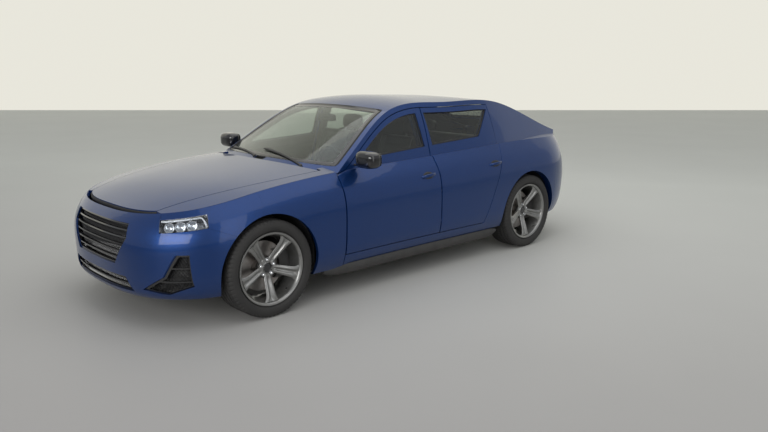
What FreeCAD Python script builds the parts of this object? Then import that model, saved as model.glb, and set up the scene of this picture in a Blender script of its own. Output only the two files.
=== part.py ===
"""A five-door fastback car, built from its real panels, glass, running gear and cabin.

Millimetres. +X is the car's left side, +Y its tail and +Z up. The origin lies on the ground under
the middle of the car's length. Named sizes are in the sheet "dims"; every shape follows them.
"""
import FreeCAD, Part
import math
import os
import Sketcher
from FreeCAD import Placement, Rotation, Vector
from types import SimpleNamespace

SIZES = {
    # Overall
    "length": 4700,
    "body_half_width": 935,
    "roof_height": 1410,
    "wheelbase": 2860,
    "front_overhang": 840,
    "half_track": 795,
    "floor_height": 205,
    # Body side, from the lower edge to the shoulder
    "front_corner_length": 800,
    "rear_corner_length": 780,
    "door_waist": 14,
    "waist_half_span": 1150,
    "rocker_tuck": 62,
    "shoulder_tuck": 118,
    "nose_lip_tuck": 55,
    "nose_top_tuck": 95,
    "tail_lip_tuck": 70,
    "tail_top_tuck": 62,
    "lip_height": 205,
    "sill_height": 235,
    "tail_lip_height": 285,
    "nose_shoulder_height": 745,
    "lamp_shoulder_height": 800,
    "arch_shoulder_height": 868,
    "cowl_shoulder_height": 918,
    "belt_height": 950,
    "haunch_height": 1000,
    "tail_shoulder_height": 985,
    "side_wall": 90,
    "top_wall": 24,
    # Hood and the top of the cabin, along the middle of the car
    "hood_lip_rise": 4,
    "hood_front_height": 846,
    "hood_axle_height": 912,
    "cowl_height": 968,
    "cowl_setback": 530,
    "screen_length": 780,
    "header_height": 1366,
    "roof_peak_setback": 650,
    "rear_header_setback": 1350,
    "rear_header_height": 1356,
    "backlight_end_setback": 2050,
    "backlight_end_height": 1136,
    "deck_height": 1012,
    "deck_edge_setback": 78,
    "screen_crown": 85,
    "roof_crown": 42,
    "deck_crown": 30,
    "crown_half_width": 640,
    "roof_wall": 40,
    "cabin_wall": 46,
    "belt_ledge": 16,
    "haunch_ledge": 58,
    "tail_ledge": 170,
    "cabin_lean": 118,
    "cabin_lean_height": 360,
    "cabin_bow": 34,
    # Doors and their gaps
    "panel_gap": 6,
    "panel_seam": 0.8,
    "edge_setback": 3,
    "door_wall": 70,
    "lamp_recess": 1.5,
    "intake_inner": 545,
    "intake_outer": 815,
    "intake_top": 520,
    "grille_rows": 6,
    "sail_length": 100,
    "roof_rail": 38,
    "split_lean": 26,
    "belt_front_height": 972,
    "belt_rear_height": 1080,
    "window_kick": 225,
    "cowl_sweep": 150,
    "screen_foot": 15,
    "header_wall": 40,
    "header_sweep": 50,
    "pillar_strip": 52,
    "lid_top_lead": 40,
    "tailgate_top_half_width": 520,
    "tailgate_foot_half_width": 560,
    "tailgate_frame": 56,
    "backlight_head": 60,
    "hood_front_half_width": 560,
    "hood_axle_half_width": 660,
    "hood_rear_half_width": 706,
    "hood_swing_room": 36,
    "hood_rear_lead": 50,
    "hood_sweep": 80,
    "lid_hinge_lead": 12,
    "lid_head_gap": 15,
    "rear_header_crown": 10,
    "hood_hinge_place": 600,
    "hood_hinge_long": 30,
    "skin": 26,
    "sill_width": 190,
    "post_skin": 122,
    "frame_skin": 62,
    "tray_height": 876,
    "wheelhouse_inner": 468,
    "rear_wheelhouse_inner": 640,
    "door_front_setback": 640,
    "door_split_setback": 1662,
    "door_sill_height": 322,
    "rear_door_foot": 640,
    "rear_door_waist": 455,
    "rear_door_shoulder": 345,
    "rear_door_top": 350,
    "hinge_inset": 46,
    "frame_width": 44,
    "pillar_width": 92,
    "pillar_depth": 70,
    "glass_wall": 6,
    "glass_inset": 14,
    "glass_lap": 8,
    "mirror_reach": 62,
    "mirror_depth": 120,
    "mirror_width": 205,
    "mirror_height": 128,
    # Arches and bumpers
    "arch_radius": 382,
    "arch_flat": 26,
    "bumper_wall": 34,
    "front_bumper_end": 395,
    "rear_bumper_end": 400,
    "grille_half_width": 405,
    "grille_top_height": 690,
    "grille_foot_height": 415,
    "grille_foot_half_width": 300,
    "lower_intake_height": 345,
    "lower_intake_foot": 250,
    "lower_intake_half_width": 470,
    "mesh_wall": 12,
    "mesh_bar": 9,
    "mesh_pitch": 44,
    # Wheels
    "tyre_diameter": 678,
    "tyre_width": 245,
    "tyre_tread_width": 206,
    "rim_diameter": 492,
    "rim_width": 220,
    "rim_wall": 12,
    "hub_radius": 72,
    "spoke_count": 5,
    "seat_gap": 0.3,
    "disc_diameter": 350,
    "disc_wall": 30,
    # Cabin and drive
    "engine_length": 620,
    "engine_width": 560,
    "engine_height": 480,
    "floor_wall": 40,
    # Hinges
    "hinge_pin": 4,
    "hinge_sleeve": 8,
    "hinge_depth": 16,
    "hinge_reach": 56,
    "swing_radius": 164,
    "swing_height": 125,
    "swing_lean": 0.29,
    "swing_foot": 850,
    "hinge_play": 0.3,
    "hinge_tall": 30,
    "hinge_room": 7,
    "hinge_arm": 12,
    "hinge_low_height": 440,
    "hinge_high_height": 690,
    "lid_hinge_reach": 380,
    "lid_hinge_long": 60,
    "lid_hinge_radius": 7,
    # Wheels, hubs and brakes
    "rim_seat_radius": 243,
    "rim_flange_radius": 256,
    "rim_flange_wall": 10,
    "spoke_wall": 26,
    "hub_back": 20,
    "hub_front": 52,
    "window_foot_half": 22,
    "window_top_half": 92,
    "window_corner": 24,
    "slot_foot_half": 6,
    "slot_top_half": 15,
    "disc_inner": 78,
    "disc_back": 50,
    "spindle_radius": 30,
    "upright_depth": 40,
    "upright_back": 96,
    "upright_half_height": 131,
    "upright_half_width": 45,
    "kingpin_inset": 75,
    "caliper_radius": 216,
    "caliper_length": 200,
    "caliper_wall": 22,
    "disc_play": 4,
    "steering_arm": 130,
    # Suspension, frame and floor
    "arm_wall": 15,
    "arm_half_width": 32,
    "arm_tip": 18,
    "arm_spread": 130,
    "frame_half_width": 380,
    "frame_rail": 80,
    "frame_rail_foot": 330,
    "crossmember_foot": 176,
    "crossmember_length": 300,
    "damper_inset": 235,
    "damper_radius": 32,
    "spring_radius": 46,
    "wheelhouse_radius": 400,
    "wheelhouse_wall": 10,
    "wheelhouse_outer": 838,
    "firewall_lead": 130,
    "firewall_wall": 36,
    "floor_half_width": 700,
    "tunnel_half_width": 130,
    "tunnel_height": 310,
    "rear_floor_height": 380,
    "rear_floor_start": 640,
    "rear_floor_end": 2050,
    "radiator_lead": 240,
    "radiator_wall": 40,
    "radiator_height": 690,
    "silencer_length": 230,
    "silencer_half_width": 430,
    "silencer_height": 110,
    "pipe_radius": 26,
    "tailpipe_half_width": 360,
    "tailpipe_radius": 42,
    "tailpipe_height": 262,
    "tailpipe_inset": 40,
    # Cabin
    "seat_half_width": 230,
    "seat_place": 410,
    "seat_front": 385,
    "seat_depth": 520,
    "seat_height": 500,
    "seat_wall": 130,
    "seat_back_height": 1085,
    "seat_back_lean": 230,
    "headrest_height": 1225,
    "headrest_half_width": 130,
    "rear_seat_front": 700,
    "rear_seat_half_width": 600,
    "rear_seat_back_height": 1020,
    "dash_half_width": 690,
    "dash_depth": 330,
    "dash_height": 915,
    "dash_foot_height": 640,
    "wheel_ring_radius": 182,
    "wheel_ring_wall": 14,
    "wheel_hub_radius": 62,
    "wheel_place": 470,
    "wheel_height": 885,
    "column_radius": 32,
    "console_half_width": 100,
    "console_height": 520,
    # Wipers
    "wiper_radius": 6,
    "wiper_pivot": 12,
    "wiper_rise": 12,
    "wiper_length": 560,
    "wiper_left_place": 480,
    "wiper_right_place": 90,
}

CUT_OVERRUN = 40.0


def make_document():
    """The document and its sheet of named sizes, whose cells hold plain numbers as text."""
    document = FreeCAD.newDocument("fastback_car")
    sheet = document.addObject("Spreadsheet::Sheet", "dims")
    for row, (name, value) in enumerate(SIZES.items(), start=1):
        sheet.set(f"A{row}", name)
        sheet.set(f"B{row}", str(value))
        sheet.setAlias(f"B{row}", name)
    document.recompute()
    return document, sheet


doc, dims = make_document()
d = SimpleNamespace(**{name: float(getattr(dims, name)) for name in SIZES})

# Places along the car that many pieces share
nose_y = -d.length / 2
tail_y = d.length / 2
front_axle_y = nose_y + d.front_overhang
rear_axle_y = front_axle_y + d.wheelbase
axle_height = d.tyre_diameter / 2
cowl_y = front_axle_y + d.cowl_setback
header_y = cowl_y + d.screen_length
peak_y = header_y + d.roof_peak_setback
rear_header_y = header_y + d.rear_header_setback
backlight_end_y = header_y + d.backlight_end_setback
deck_edge_y = tail_y - d.deck_edge_setback
door_front_y = front_axle_y + d.door_front_setback
nose_top_y = nose_y + d.nose_top_tuck
front_corner_y = nose_y + d.front_corner_length
rear_corner_y = tail_y - d.rear_corner_length


# Curves and surfaces worked out from the sizes
def smooth_curve(points):
    """Natural cubic spline through (place, value) points, as a function of the place."""
    count = len(points)
    bends = [0.0] * count
    ratios = [0.0] * count
    sums = [0.0] * count
    for i in range(1, count - 1):
        left = points[i][0] - points[i - 1][0]
        right = points[i + 1][0] - points[i][0]
        slope_before = (points[i][1] - points[i - 1][1]) / left
        slope_after = (points[i + 1][1] - points[i][1]) / right
        pivot = 2 * (left + right) - left * ratios[i - 1]
        ratios[i] = right / pivot
        sums[i] = (6 * (slope_after - slope_before) - left * sums[i - 1]) / pivot
    for i in range(count - 2, 0, -1):
        bends[i] = sums[i] - ratios[i] * bends[i + 1]

    def value(place):
        i = 0
        while i < count - 2 and place > points[i + 1][0]:
            i += 1
        (x0, y0), (x1, y1) = points[i], points[i + 1]
        step = x1 - x0
        u = min(1.0, max(0.0, (place - x0) / step))
        w = 1 - u
        inside = w * y0 + u * y1
        inside += ((w**3 - w) * bends[i] + (u**3 - u) * bends[i + 1]) * step * step / 6
        if place < x0:
            slope = (y1 - y0) / step - step * (2 * bends[i] + bends[i + 1]) / 6
            return inside + slope * (place - x0)
        if place > x1:
            slope = (y1 - y0) / step + step * (bends[i] + 2 * bends[i + 1]) / 6
            return inside + slope * (place - x1)
        return inside

    return value


lower_edge = smooth_curve([
    (nose_y, d.lip_height),
    (front_axle_y, (d.lip_height + d.sill_height) / 2),
    (0, d.sill_height),
    (rear_axle_y, (d.sill_height + d.tail_lip_height) / 2),
    (tail_y, d.tail_lip_height),
])
shoulder_edge = smooth_curve([
    (nose_y, d.nose_shoulder_height),
    (nose_y + d.front_corner_length / 2, d.lamp_shoulder_height),
    (front_axle_y, d.arch_shoulder_height),
    (cowl_y, d.cowl_shoulder_height),
    (0, d.belt_height),
    (rear_axle_y, d.haunch_height),
    (tail_y, d.tail_shoulder_height),
])
hood_crest = smooth_curve([
    (nose_top_y, d.nose_shoulder_height + d.hood_lip_rise),
    (nose_y + d.front_corner_length / 2, d.hood_front_height),
    (front_axle_y, d.hood_axle_height),
    (cowl_y, d.cowl_height),
])
cabin_crest = smooth_curve([
    (cowl_y, d.cowl_height),
    ((cowl_y + header_y) / 2, (d.cowl_height + d.header_height) / 2 + d.roof_wall / 4),
    (header_y, d.header_height),
    (peak_y, d.roof_height),
    (rear_header_y, d.rear_header_height),
    (backlight_end_y, d.backlight_end_height),
    (deck_edge_y, d.deck_height),
])
cabin_crown = smooth_curve([
    (cowl_y, d.screen_crown),
    (header_y, d.roof_crown * 1.2),
    (peak_y, d.roof_crown),
    (rear_header_y - d.lid_top_lead, d.rear_header_crown),
    (backlight_end_y, d.deck_crown),
    (deck_edge_y, d.deck_crown),
])
cabin_ledge = smooth_curve([
    (cowl_y, d.belt_ledge),
    (peak_y, d.belt_ledge),
    (rear_axle_y - d.arch_radius, d.belt_ledge * 1.3),
    (rear_axle_y, d.haunch_ledge),
    (backlight_end_y, (d.haunch_ledge + d.tail_ledge) / 2),
    (deck_edge_y, d.tail_ledge),
])

# How the body side tucks in: shares of the height, then of the rocker's and shoulder's tuck
SECTION_HEIGHT_SHARES = (0.0, 0.10, 0.26, 0.45, 0.64, 0.74, 0.84, 0.93, 1.0)
ROCKER_TUCK_SHARES = (1.0, 0.50, 0.16, 0.02, 0.0, 0.0, 0.0, 0.0, 0.0)
SHOULDER_TUCK_SHARES = (0.0, 0.0, 0.0, 0.01, 0.05, 0.13, 0.36, 0.66, 1.0)
NOSE_LIP_SHARES = (0.9, 0.25, 0.05, 0.0, 0.0, 0.0, 0.0, 0.0, 0.0)
NOSE_TOP_SHARES = (0.0, 0.0, 0.0, 0.0, 0.06, 0.18, 0.38, 0.66, 1.0)
TAIL_LIP_SHARES = (1.0, 0.60, 0.22, 0.03, 0.0, 0.0, 0.0, 0.0, 0.0)
TAIL_TOP_SHARES = (0.0, 0.0, 0.0, 0.05, 0.30, 0.62, 0.70, 0.82, 1.0)
FRONT_CORNER_POWER = 2.7
REAR_CORNER_POWER = 2.4


def section_curve(shares, tuck):
    """One tuck along the section's height, as a smooth function of the height share."""
    return smooth_curve([(h, tuck * share) for h, share in zip(SECTION_HEIGHT_SHARES, shares)])


rocker_tuck = section_curve(ROCKER_TUCK_SHARES, d.rocker_tuck)
shoulder_tuck = section_curve(SHOULDER_TUCK_SHARES, d.shoulder_tuck)
nose_lip_tuck = section_curve(NOSE_LIP_SHARES, d.nose_lip_tuck)
nose_top_tuck = section_curve(NOSE_TOP_SHARES, d.nose_top_tuck)
tail_lip_tuck = section_curve(TAIL_LIP_SHARES, d.tail_lip_tuck)
tail_top_tuck = section_curve(TAIL_TOP_SHARES, d.tail_top_tuck)


def side_half_width(y, s):
    """Half of the body's width at place y and height share s, between the two corners."""
    reach = abs(y - (front_axle_y + rear_axle_y) / 2) / d.waist_half_span
    waist = d.door_waist * (0.5 + 0.5 * math.cos(math.pi * min(reach, 1.0)))
    return d.body_half_width - rocker_tuck(s) - shoulder_tuck(s) - waist


def side_height(y, s):
    """Height of share s of the body side at place y."""
    return lower_edge(y) + s * (shoulder_edge(y) - lower_edge(y))


def height_share(y, z):
    """The share s at which the body side at place y has height z."""
    return (z - lower_edge(y)) / (shoulder_edge(y) - lower_edge(y))


def side_point(y, s):
    return Vector(side_half_width(y, s), y, side_height(y, s))


def corner_shares(t, power):
    """Superellipse corner: how far out and how far back the point lies at share t of a quarter turn."""
    turn = t * math.pi / 2
    reach = (abs(math.sin(turn)) ** power + abs(math.cos(turn)) ** power) ** (-1 / power)
    return reach * math.sin(turn), 1 - reach * math.cos(turn)


def front_point(t, s):
    """The nose from its middle at t 0, round the left corner, to the axle at t 1. Negative t mirrors it."""
    across, along = corner_shares(t, FRONT_CORNER_POWER)
    start = nose_y + nose_lip_tuck(s) + nose_top_tuck(s)
    y = start + (front_corner_y - start) * along
    flat_y = nose_y + d.front_corner_length * along
    x = side_half_width(front_corner_y, s) * across
    return Vector(x, y, side_height(flat_y, s))


def rear_point(t, s):
    """The tail from its middle at t 0, round the left corner, to the quarter at t 1. Negative t mirrors it."""
    across, along = corner_shares(t, REAR_CORNER_POWER)
    start = tail_y - tail_lip_tuck(s) - tail_top_tuck(s)
    y = start - (start - rear_corner_y) * along
    flat_y = tail_y - d.rear_corner_length * along
    x = side_half_width(rear_corner_y, s) * across
    return Vector(x, y, side_height(flat_y, s))


def body_half_x(y, s):
    """Half of the body's width at any place y, corners included."""
    if y < front_corner_y:
        along = min(1.0, max(0.0, (front_corner_y - y) / d.front_corner_length))
        share = (1 - along**FRONT_CORNER_POWER) ** (1 / FRONT_CORNER_POWER)
        return side_half_width(front_corner_y, s) * share
    if y > rear_corner_y:
        along = min(1.0, max(0.0, (y - rear_corner_y) / d.rear_corner_length))
        share = (1 - along**REAR_CORNER_POWER) ** (1 / REAR_CORNER_POWER)
        return side_half_width(rear_corner_y, s) * share
    return side_half_width(y, s)


def hood_height(x, y):
    """Height of the hood and fender tops: a crown between the two shoulders, down to the nose's edge."""
    reach = min(1.0, max(0.0, (front_corner_y - y) / (front_corner_y - nose_top_y)))
    edge_x = side_half_width(max(y, front_corner_y), 1.0)
    edge_x *= (1 - reach**FRONT_CORNER_POWER) ** (1 / FRONT_CORNER_POWER)
    edge_y = front_corner_y - d.front_corner_length * reach if y < front_corner_y else y
    crest = hood_crest(y)
    share = min(1.25, abs(x) / max(edge_x, d.grille_half_width))
    return crest - (crest - shoulder_edge(edge_y)) * share**2.2


def cabin_height(x, y):
    """Height of windscreen, roof, rear glass and deck."""
    return cabin_crest(y) - cabin_crown(y) * (x / d.crown_half_width) ** 2


def cabin_foot_x(y):
    """Half width of the cabin where it stands on the shoulder."""
    return body_half_x(min(y, rear_corner_y), 1.0) - cabin_ledge(y)


def cabin_half_width(y, z):
    """Half width of the cabin side at place y and height z."""
    rise = (z - shoulder_edge(y)) / d.cabin_lean_height
    return cabin_foot_x(y) - d.cabin_lean * rise - d.cabin_bow * rise * abs(rise)


def rail_height(y):
    """Height where the cabin's side meets its top at place y."""
    z = cabin_height(d.crown_half_width, y)
    for _ in range(12):
        z = cabin_height(cabin_half_width(y, z), y)
    return z


def even_steps(start, end, count):
    return [start + (end - start) * i / (count - 1) for i in range(count)]


def surface_face(point, us, vs):
    """A smooth face through point(u, v) on a grid."""
    surface = Part.BSplineSurface()
    surface.interpolate([[point(u, v) for v in vs] for u in us])
    return surface.toShape()


def solid_between(outer, inner):
    """The solid between two faces whose edges run the same way."""
    faces = [outer, inner]
    for a, b in zip(outer.Edges, inner.Edges):
        faces.append(Part.makeRuledSurface(a, b))
    sewn = Part.makeShell(faces)
    sewn.sewShape()
    solid = Part.makeSolid(Part.Shell(sewn.Faces))
    if solid.Volume < 0:
        solid.reverse()
    return solid


def normal_of(point, u, v):
    """Outward normal of point(u, v), by small steps."""
    step = 1e-4
    along = point(u + step, v) - point(u - step, v)
    up = point(u, min(1.0, v + step)) - point(u, max(0.0, v - step))
    normal = up.cross(along)
    normal.normalize()
    return normal


def thick_patch(point, outward, us, vs, proud, deep):
    """A wall that follows point(u, v) from proud outside it to deep inside it.

    outward is a rough outward direction at (u, v), which tells the two sides apart."""

    def moved(distance):
        def place(u, v):
            normal = normal_of(point, u, v)
            if normal.dot(outward(u, v)) < 0:
                normal = normal.negative()
            return point(u, v) + normal * distance
        return place

    outer = surface_face(moved(proud), us, vs)
    inner = surface_face(moved(-deep), us, vs)
    return solid_between(outer, inner)


def front_patch(t0, t1, s0, s1, proud, deep):
    return thick_patch(front_point, lambda t, s: Vector(math.sin(t * math.pi / 2), -math.cos(t * math.pi / 2), 0),
                       even_steps(t0, t1, 15), even_steps(s0, s1, 7), proud, deep)


def rear_patch(t0, t1, s0, s1, proud, deep):
    return thick_patch(rear_point, lambda t, s: Vector(math.sin(t * math.pi / 2), math.cos(t * math.pi / 2), 0),
                       even_steps(t0, t1, 15), even_steps(s0, s1, 7), proud, deep)


def quarter_point(p, s):
    """The left side from the door's front at p 0 to the rear corner at 1 and the tail's middle at 2."""
    if p <= 1:
        return side_point(door_front_y + (rear_corner_y - door_front_y) * p, s)
    return rear_point(2 - p, s)


def quarter_patch(proud, deep):
    return thick_patch(quarter_point, lambda p, s: Vector(1, 0.5 * max(0.0, p - 1), 0),
                       even_steps(0, 1, 9)[:-1] + even_steps(1, 2, 9), even_steps(0, 1, 7), proud, deep)


def side_slab(y0, y1, skin, deep):
    """The left body side between two places, from skin to deep inside its surface."""
    face = surface_face(side_point, even_steps(y0, y1, 7), even_steps(0, 1, 7))
    face.translate(Vector(-skin, 0, 0))
    return face.extrude(Vector(skin - deep, 0, 0))


def closed_face(runs, place):
    """A flat face inside runs of (a, b) points: two points make a line, more make a smooth curve."""
    edges = []
    for run in runs:
        spots = [place(a, b) for a, b in run]
        if len(spots) == 2:
            edges.append(Part.makeLine(*spots))
        else:
            curve = Part.BSplineCurve()
            curve.interpolate(spots)
            edges.append(curve.toShape())
    return Part.Face(Part.Wire(edges))


def sides_of(points):
    """Straight runs round a polygon."""
    return [[a, b] for a, b in zip(points, points[1:] + points[:1])]


def grown(face, distance):
    """The flat face with its outline moved outwards by distance, or inwards below zero."""
    return face.makeOffset2D(distance) if distance else face


side_reach = d.body_half_width + CUT_OVERRUN
slant = math.tan(math.radians(20))


def from_side(runs, growth=0.0, x0=0.0, x1=None, slanted=0.0):
    """A prism across the car from an outline seen from its left, from x0 out to x1."""
    x1 = side_reach if x1 is None else x1
    face = grown(closed_face(runs, lambda y, z: Vector(x1, y, z)), growth)
    return face.extrude(Vector(x0 - x1, (x0 - x1) * slanted, 0))


def from_above(runs, growth=0.0, z0=0.0, z1=None):
    """A prism up the car from an outline seen from above."""
    z1 = d.roof_height + CUT_OVERRUN if z1 is None else z1
    return grown(closed_face(runs, lambda x, y: Vector(x, y, z0)), growth).extrude(Vector(0, 0, z1 - z0))


def from_front(runs, growth=0.0, y0=0.0, y1=0.0):
    """A prism along the car from an outline seen from its nose."""
    return grown(closed_face(runs, lambda x, z: Vector(x, y0, z)), growth).extrude(Vector(0, y1 - y0, 0))


def mirrored(shape):
    return shape.mirror(Vector(0, 0, 0), Vector(1, 0, 0))


def on_both_sides(shape):
    return shape.fuse(mirrored(shape))


def joined(shapes):
    result = shapes[0].fuse(shapes[1:]) if len(shapes) > 1 else shapes[0]
    return result.removeSplitter()


def across(radius, x0, x1, y, z):
    """A round bar across the car."""
    return Part.makeCylinder(radius, x1 - x0, Vector(x0, y, z), Vector(1, 0, 0))


def upright(radius, z0, z1, x, y):
    return Part.makeCylinder(radius, z1 - z0, Vector(x, y, z0), Vector(0, 0, 1))


def bar(radius, start, end):
    """A round bar between two points."""
    return Part.makeCylinder(radius, (end - start).Length, start, end - start)


def block(x0, x1, y0, y1, z0, z1):
    return Part.makeBox(x1 - x0, y1 - y0, z1 - z0, Vector(x0, y0, z0))


parts = []


def add_part(name, shape):
    """One sub-part of the document. Only its largest solids are kept, without slivers left by the cuts."""
    largest = max(solid.Volume for solid in shape.Solids)
    solids = [solid for solid in shape.Solids if solid.Volume > largest * SLIVER_SHARE]
    if any(type(face.Surface).__name__ == "SurfaceOfExtrusion" for face in shape.Faces):
        # A swept face is lost when the file is read back, and a spline face isn't
        solids = [solid.toNurbs().Solids[0] for solid in solids]
    feature = doc.addObject("Part::Feature", name)
    feature.Label = name
    feature.Shape = solids[0] if len(solids) == 1 else Part.makeCompound(solids)
    feature.Placement = Placement()
    parts.append(feature)
    return feature


SLIVER_SHARE = 1e-3
seam = d.panel_seam
rest_clear = d.seat_gap
gap = d.panel_gap


# The big forms that the body's pieces are cut from
def cabin_solid(drop, inset):
    """Everything under the windscreen, roof and rear glass, drop lower and inset further in on each side."""
    half = d.body_half_width
    top = surface_face(lambda x, y: Vector(x, y, cabin_height(x, y) - drop),
                       even_steps(-half, half, 7), even_steps(cowl_y - d.cabin_wall * 5, tail_y, 22))
    under = top.extrude(Vector(0, 0, -d.roof_height))
    base = d.nose_shoulder_height
    side = surface_face(lambda y, z: Vector(cabin_half_width(y, z) - inset, y, z),
                        even_steps(cowl_y - d.cabin_wall * 6, tail_y + CUT_OVERRUN, 15),
                        even_steps(base, d.roof_height + CUT_OVERRUN, 4))
    left = side.extrude(Vector(-2 * half - CUT_OVERRUN, 0, 0))
    plan = from_above(shoulder_plan(d.edge_setback + inset))
    return under.common(left).common(mirrored(left)).common(plan)


def top_slab(height, y0, y1, thickness, skin=0.0):
    """A wall under the surface height(x, y)."""
    half = d.body_half_width
    face = surface_face(lambda x, y: Vector(x, y, height(x, y) - skin),
                        even_steps(-half, half, 9), even_steps(y0, y1, 11))
    return face.extrude(Vector(0, 0, -thickness))


def ledge_height(x, y):
    """Height of the ledge between the shoulder and the foot of the cabin."""
    return shoulder_edge(y) + (body_half_x(y, 1.0) - abs(x)) * 0.10


def nose_plan(inset):
    """The nose's upper edge seen from above, moved back by inset, from right to left."""
    spots = []
    for t in even_steps(-1.0, 1.0, 25):
        before = front_point(max(-1.0, t - 1e-3), 1.0)
        after = front_point(min(1.0, t + 1e-3), 1.0)
        along = (after - before).normalize()
        spot = front_point(t, 1.0)
        spots.append((spot.x - along.y * inset, spot.y + along.x * inset))
    return spots


def tail_plan(inset):
    """The tail's upper edge seen from above, moved forward by inset, from left to right."""
    spots = []
    for t in even_steps(1.0, -1.0, 25):
        before = rear_point(min(1.0, t + 1e-3), 1.0)
        after = rear_point(max(-1.0, t - 1e-3), 1.0)
        along = (after - before).normalize()
        spot = rear_point(t, 1.0)
        spots.append((spot.x - along.y * inset, spot.y + along.x * inset))
    return spots


def shoulder_plan(inset):
    """The whole shoulder edge seen from above."""
    left = [(side_half_width(y, 1.0) - inset, y) for y in even_steps(front_corner_y, rear_corner_y, 9)]
    front = nose_plan(inset)
    rear = tail_plan(inset)
    front[0] = (-left[0][0], left[0][1])
    front[-1] = left[0]
    rear[0] = left[-1]
    rear[-1] = (-left[-1][0], left[-1][1])
    right = [(-x, y) for x, y in reversed(left)]
    return [front, left, rear, right]


# Outlines of the openings
split_y = front_axle_y + d.door_split_setback
post_y = door_front_y - gap


def surface_x(y, z):
    """Half width of the car's side at any height."""
    if z <= shoulder_edge(y):
        return body_half_x(y, height_share(y, z))
    return cabin_half_width(y, z)


def door_plane(y, z):
    """A point of a door's edge, moved along the slant of the edge to the plane where the outline is drawn."""
    return (y + slant * (side_reach - surface_x(y, z)), z)


def under_rail(y, drop):
    return (y, rail_height(y) - drop)


sail_y = door_front_y + d.sail_length
rear_top_y = rear_axle_y - d.rear_door_top
rear_shoulder_y = rear_axle_y - d.rear_door_shoulder
split_heights = even_steps(d.door_sill_height, shoulder_edge(split_y), 4)
split_line = [(split_y, z) for z in split_heights]
split_top = under_rail(split_y + d.split_lean, d.roof_rail)
split_upper = [
    (split_y, shoulder_edge(split_y)),
    (split_y + d.split_lean / 2, (shoulder_edge(split_y) + split_top[1]) / 2),
    split_top,
]
front_door_top = [under_rail(y, d.roof_rail) for y in even_steps(sail_y, split_top[0], 6)]
rear_door_top = [under_rail(y, d.roof_rail) for y in even_steps(split_top[0], rear_top_y, 6)]


def front_door_runs():
    foot = (door_front_y, d.door_sill_height)
    shoulder = (door_front_y, shoulder_edge(door_front_y) - d.belt_ledge)
    front = [(door_front_y, z) for z in even_steps(foot[1], shoulder[1], 5)]
    runs = [
        front,
        [shoulder, front_door_top[0]],
        front_door_top,
        list(reversed(split_upper)),
        list(reversed(split_line)),
        [split_line[0], foot],
    ]
    return [[door_plane(y, z) for y, z in run] for run in runs]


def rear_door_runs():
    waist_z = d.door_sill_height + (d.haunch_height - d.door_sill_height) * 0.62
    arch = [
        (rear_shoulder_y, shoulder_edge(rear_shoulder_y)),
        (rear_axle_y - d.rear_door_waist, waist_z),
        (rear_axle_y - (d.rear_door_waist + d.rear_door_foot) / 2, (waist_z + d.door_sill_height) / 2),
        (rear_axle_y - d.rear_door_foot, d.door_sill_height),
    ]
    upper = [
        rear_door_top[-1],
        ((rear_top_y * 2 + rear_shoulder_y) / 3, rear_door_top[-1][1] * 0.66 + arch[0][1] * 0.34),
        arch[0],
    ]
    runs = [
        split_line,
        split_upper,
        rear_door_top,
        upper,
        arch,
        [arch[-1], split_line[0]],
    ]
    return [[door_plane(y, z) for y, z in run] for run in runs]


def front_window_runs():
    """Seen from the side: the front door's glass."""
    rear = split_y - d.frame_width
    low = [(sail_y + d.frame_width * 3, front_belt(sail_y + d.frame_width * 3)), (rear, front_belt(rear))]
    top = [under_rail(y, d.roof_rail + d.frame_width) for y in even_steps(low[0][0] + d.frame_width / 2, rear, 5)]
    return [low, [low[1], top[-1]], list(reversed(top)), [top[0], low[0]]]


def front_belt(y):
    """Lower edge of the side glass."""
    share = (y - door_front_y) / (rear_top_y - door_front_y)
    return d.belt_front_height + (d.belt_rear_height - d.belt_front_height) * share


def rear_window_runs():
    """Seen from the side: the rear door's glass, with its lower edge kicked up to a tip."""
    front = split_y + d.frame_width
    kick = rear_top_y - d.window_kick
    tip = rear_top_y - d.frame_width * 0.6
    low = [(front, front_belt(front)), (kick, front_belt(kick))]
    top = [under_rail(y, d.roof_rail + d.frame_width) for y in even_steps(front, tip, 5)]
    return [low, [low[1], top[-1]], list(reversed(top)), [top[0], low[0]]]


ARC_SHARES = (-1.0, -0.5, 0.0, 0.5, 1.0)


def cowl_arc(y, x):
    """The line of the windscreen's foot seen from above, y at the middle of the car."""
    return [(share * x, y + d.cowl_sweep * share * share) for share in ARC_SHARES]


def roof_arc(y, x, sweep):
    """A shallow arc across the car seen from above, swept back by sweep at its ends."""
    return [(share * x, y + sweep * share * share) for share in ARC_SHARES]


def rail_x(y):
    return cabin_half_width(y, rail_height(y))


def screen_runs():
    """Windscreen opening seen from above."""
    foot = cowl_arc(cowl_y + d.screen_foot, rail_x(cowl_y + d.screen_foot + d.cowl_sweep) - d.pillar_strip)
    head_y = header_y - d.header_wall
    head = roof_arc(head_y, rail_x(head_y + d.header_sweep) - d.pillar_strip, d.header_sweep)
    left = [(rail_x(y) - d.pillar_strip, y) for y in even_steps(foot[-1][1], head[-1][1], 5)]
    right = [(-x, y) for x, y in left]
    return [foot, left, list(reversed(head)), list(reversed(right))]


lid_top_y = rear_header_y - d.lid_top_lead


def tailgate_half_width(y):
    """Half width of the tailgate seen from above: inside the rear pillars, then inside the tail lamps."""
    share = (y - lid_top_y) / (tail_y - lid_top_y)
    return d.tailgate_top_half_width + (d.tailgate_foot_half_width - d.tailgate_top_half_width) * share


def tailgate_runs(lead=0.0):
    """Tailgate seen from above, its head moved forward by lead."""
    half = tailgate_half_width(lid_top_y)
    head = [(-half, lid_top_y - lead), (half, lid_top_y - lead)]
    end = tail_y + CUT_OVERRUN
    foot = [(-tailgate_half_width(end), end), (tailgate_half_width(end), end)]
    return [head, [head[1], foot[1]], [foot[1], foot[0]], [foot[0], head[0]]]


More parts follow.
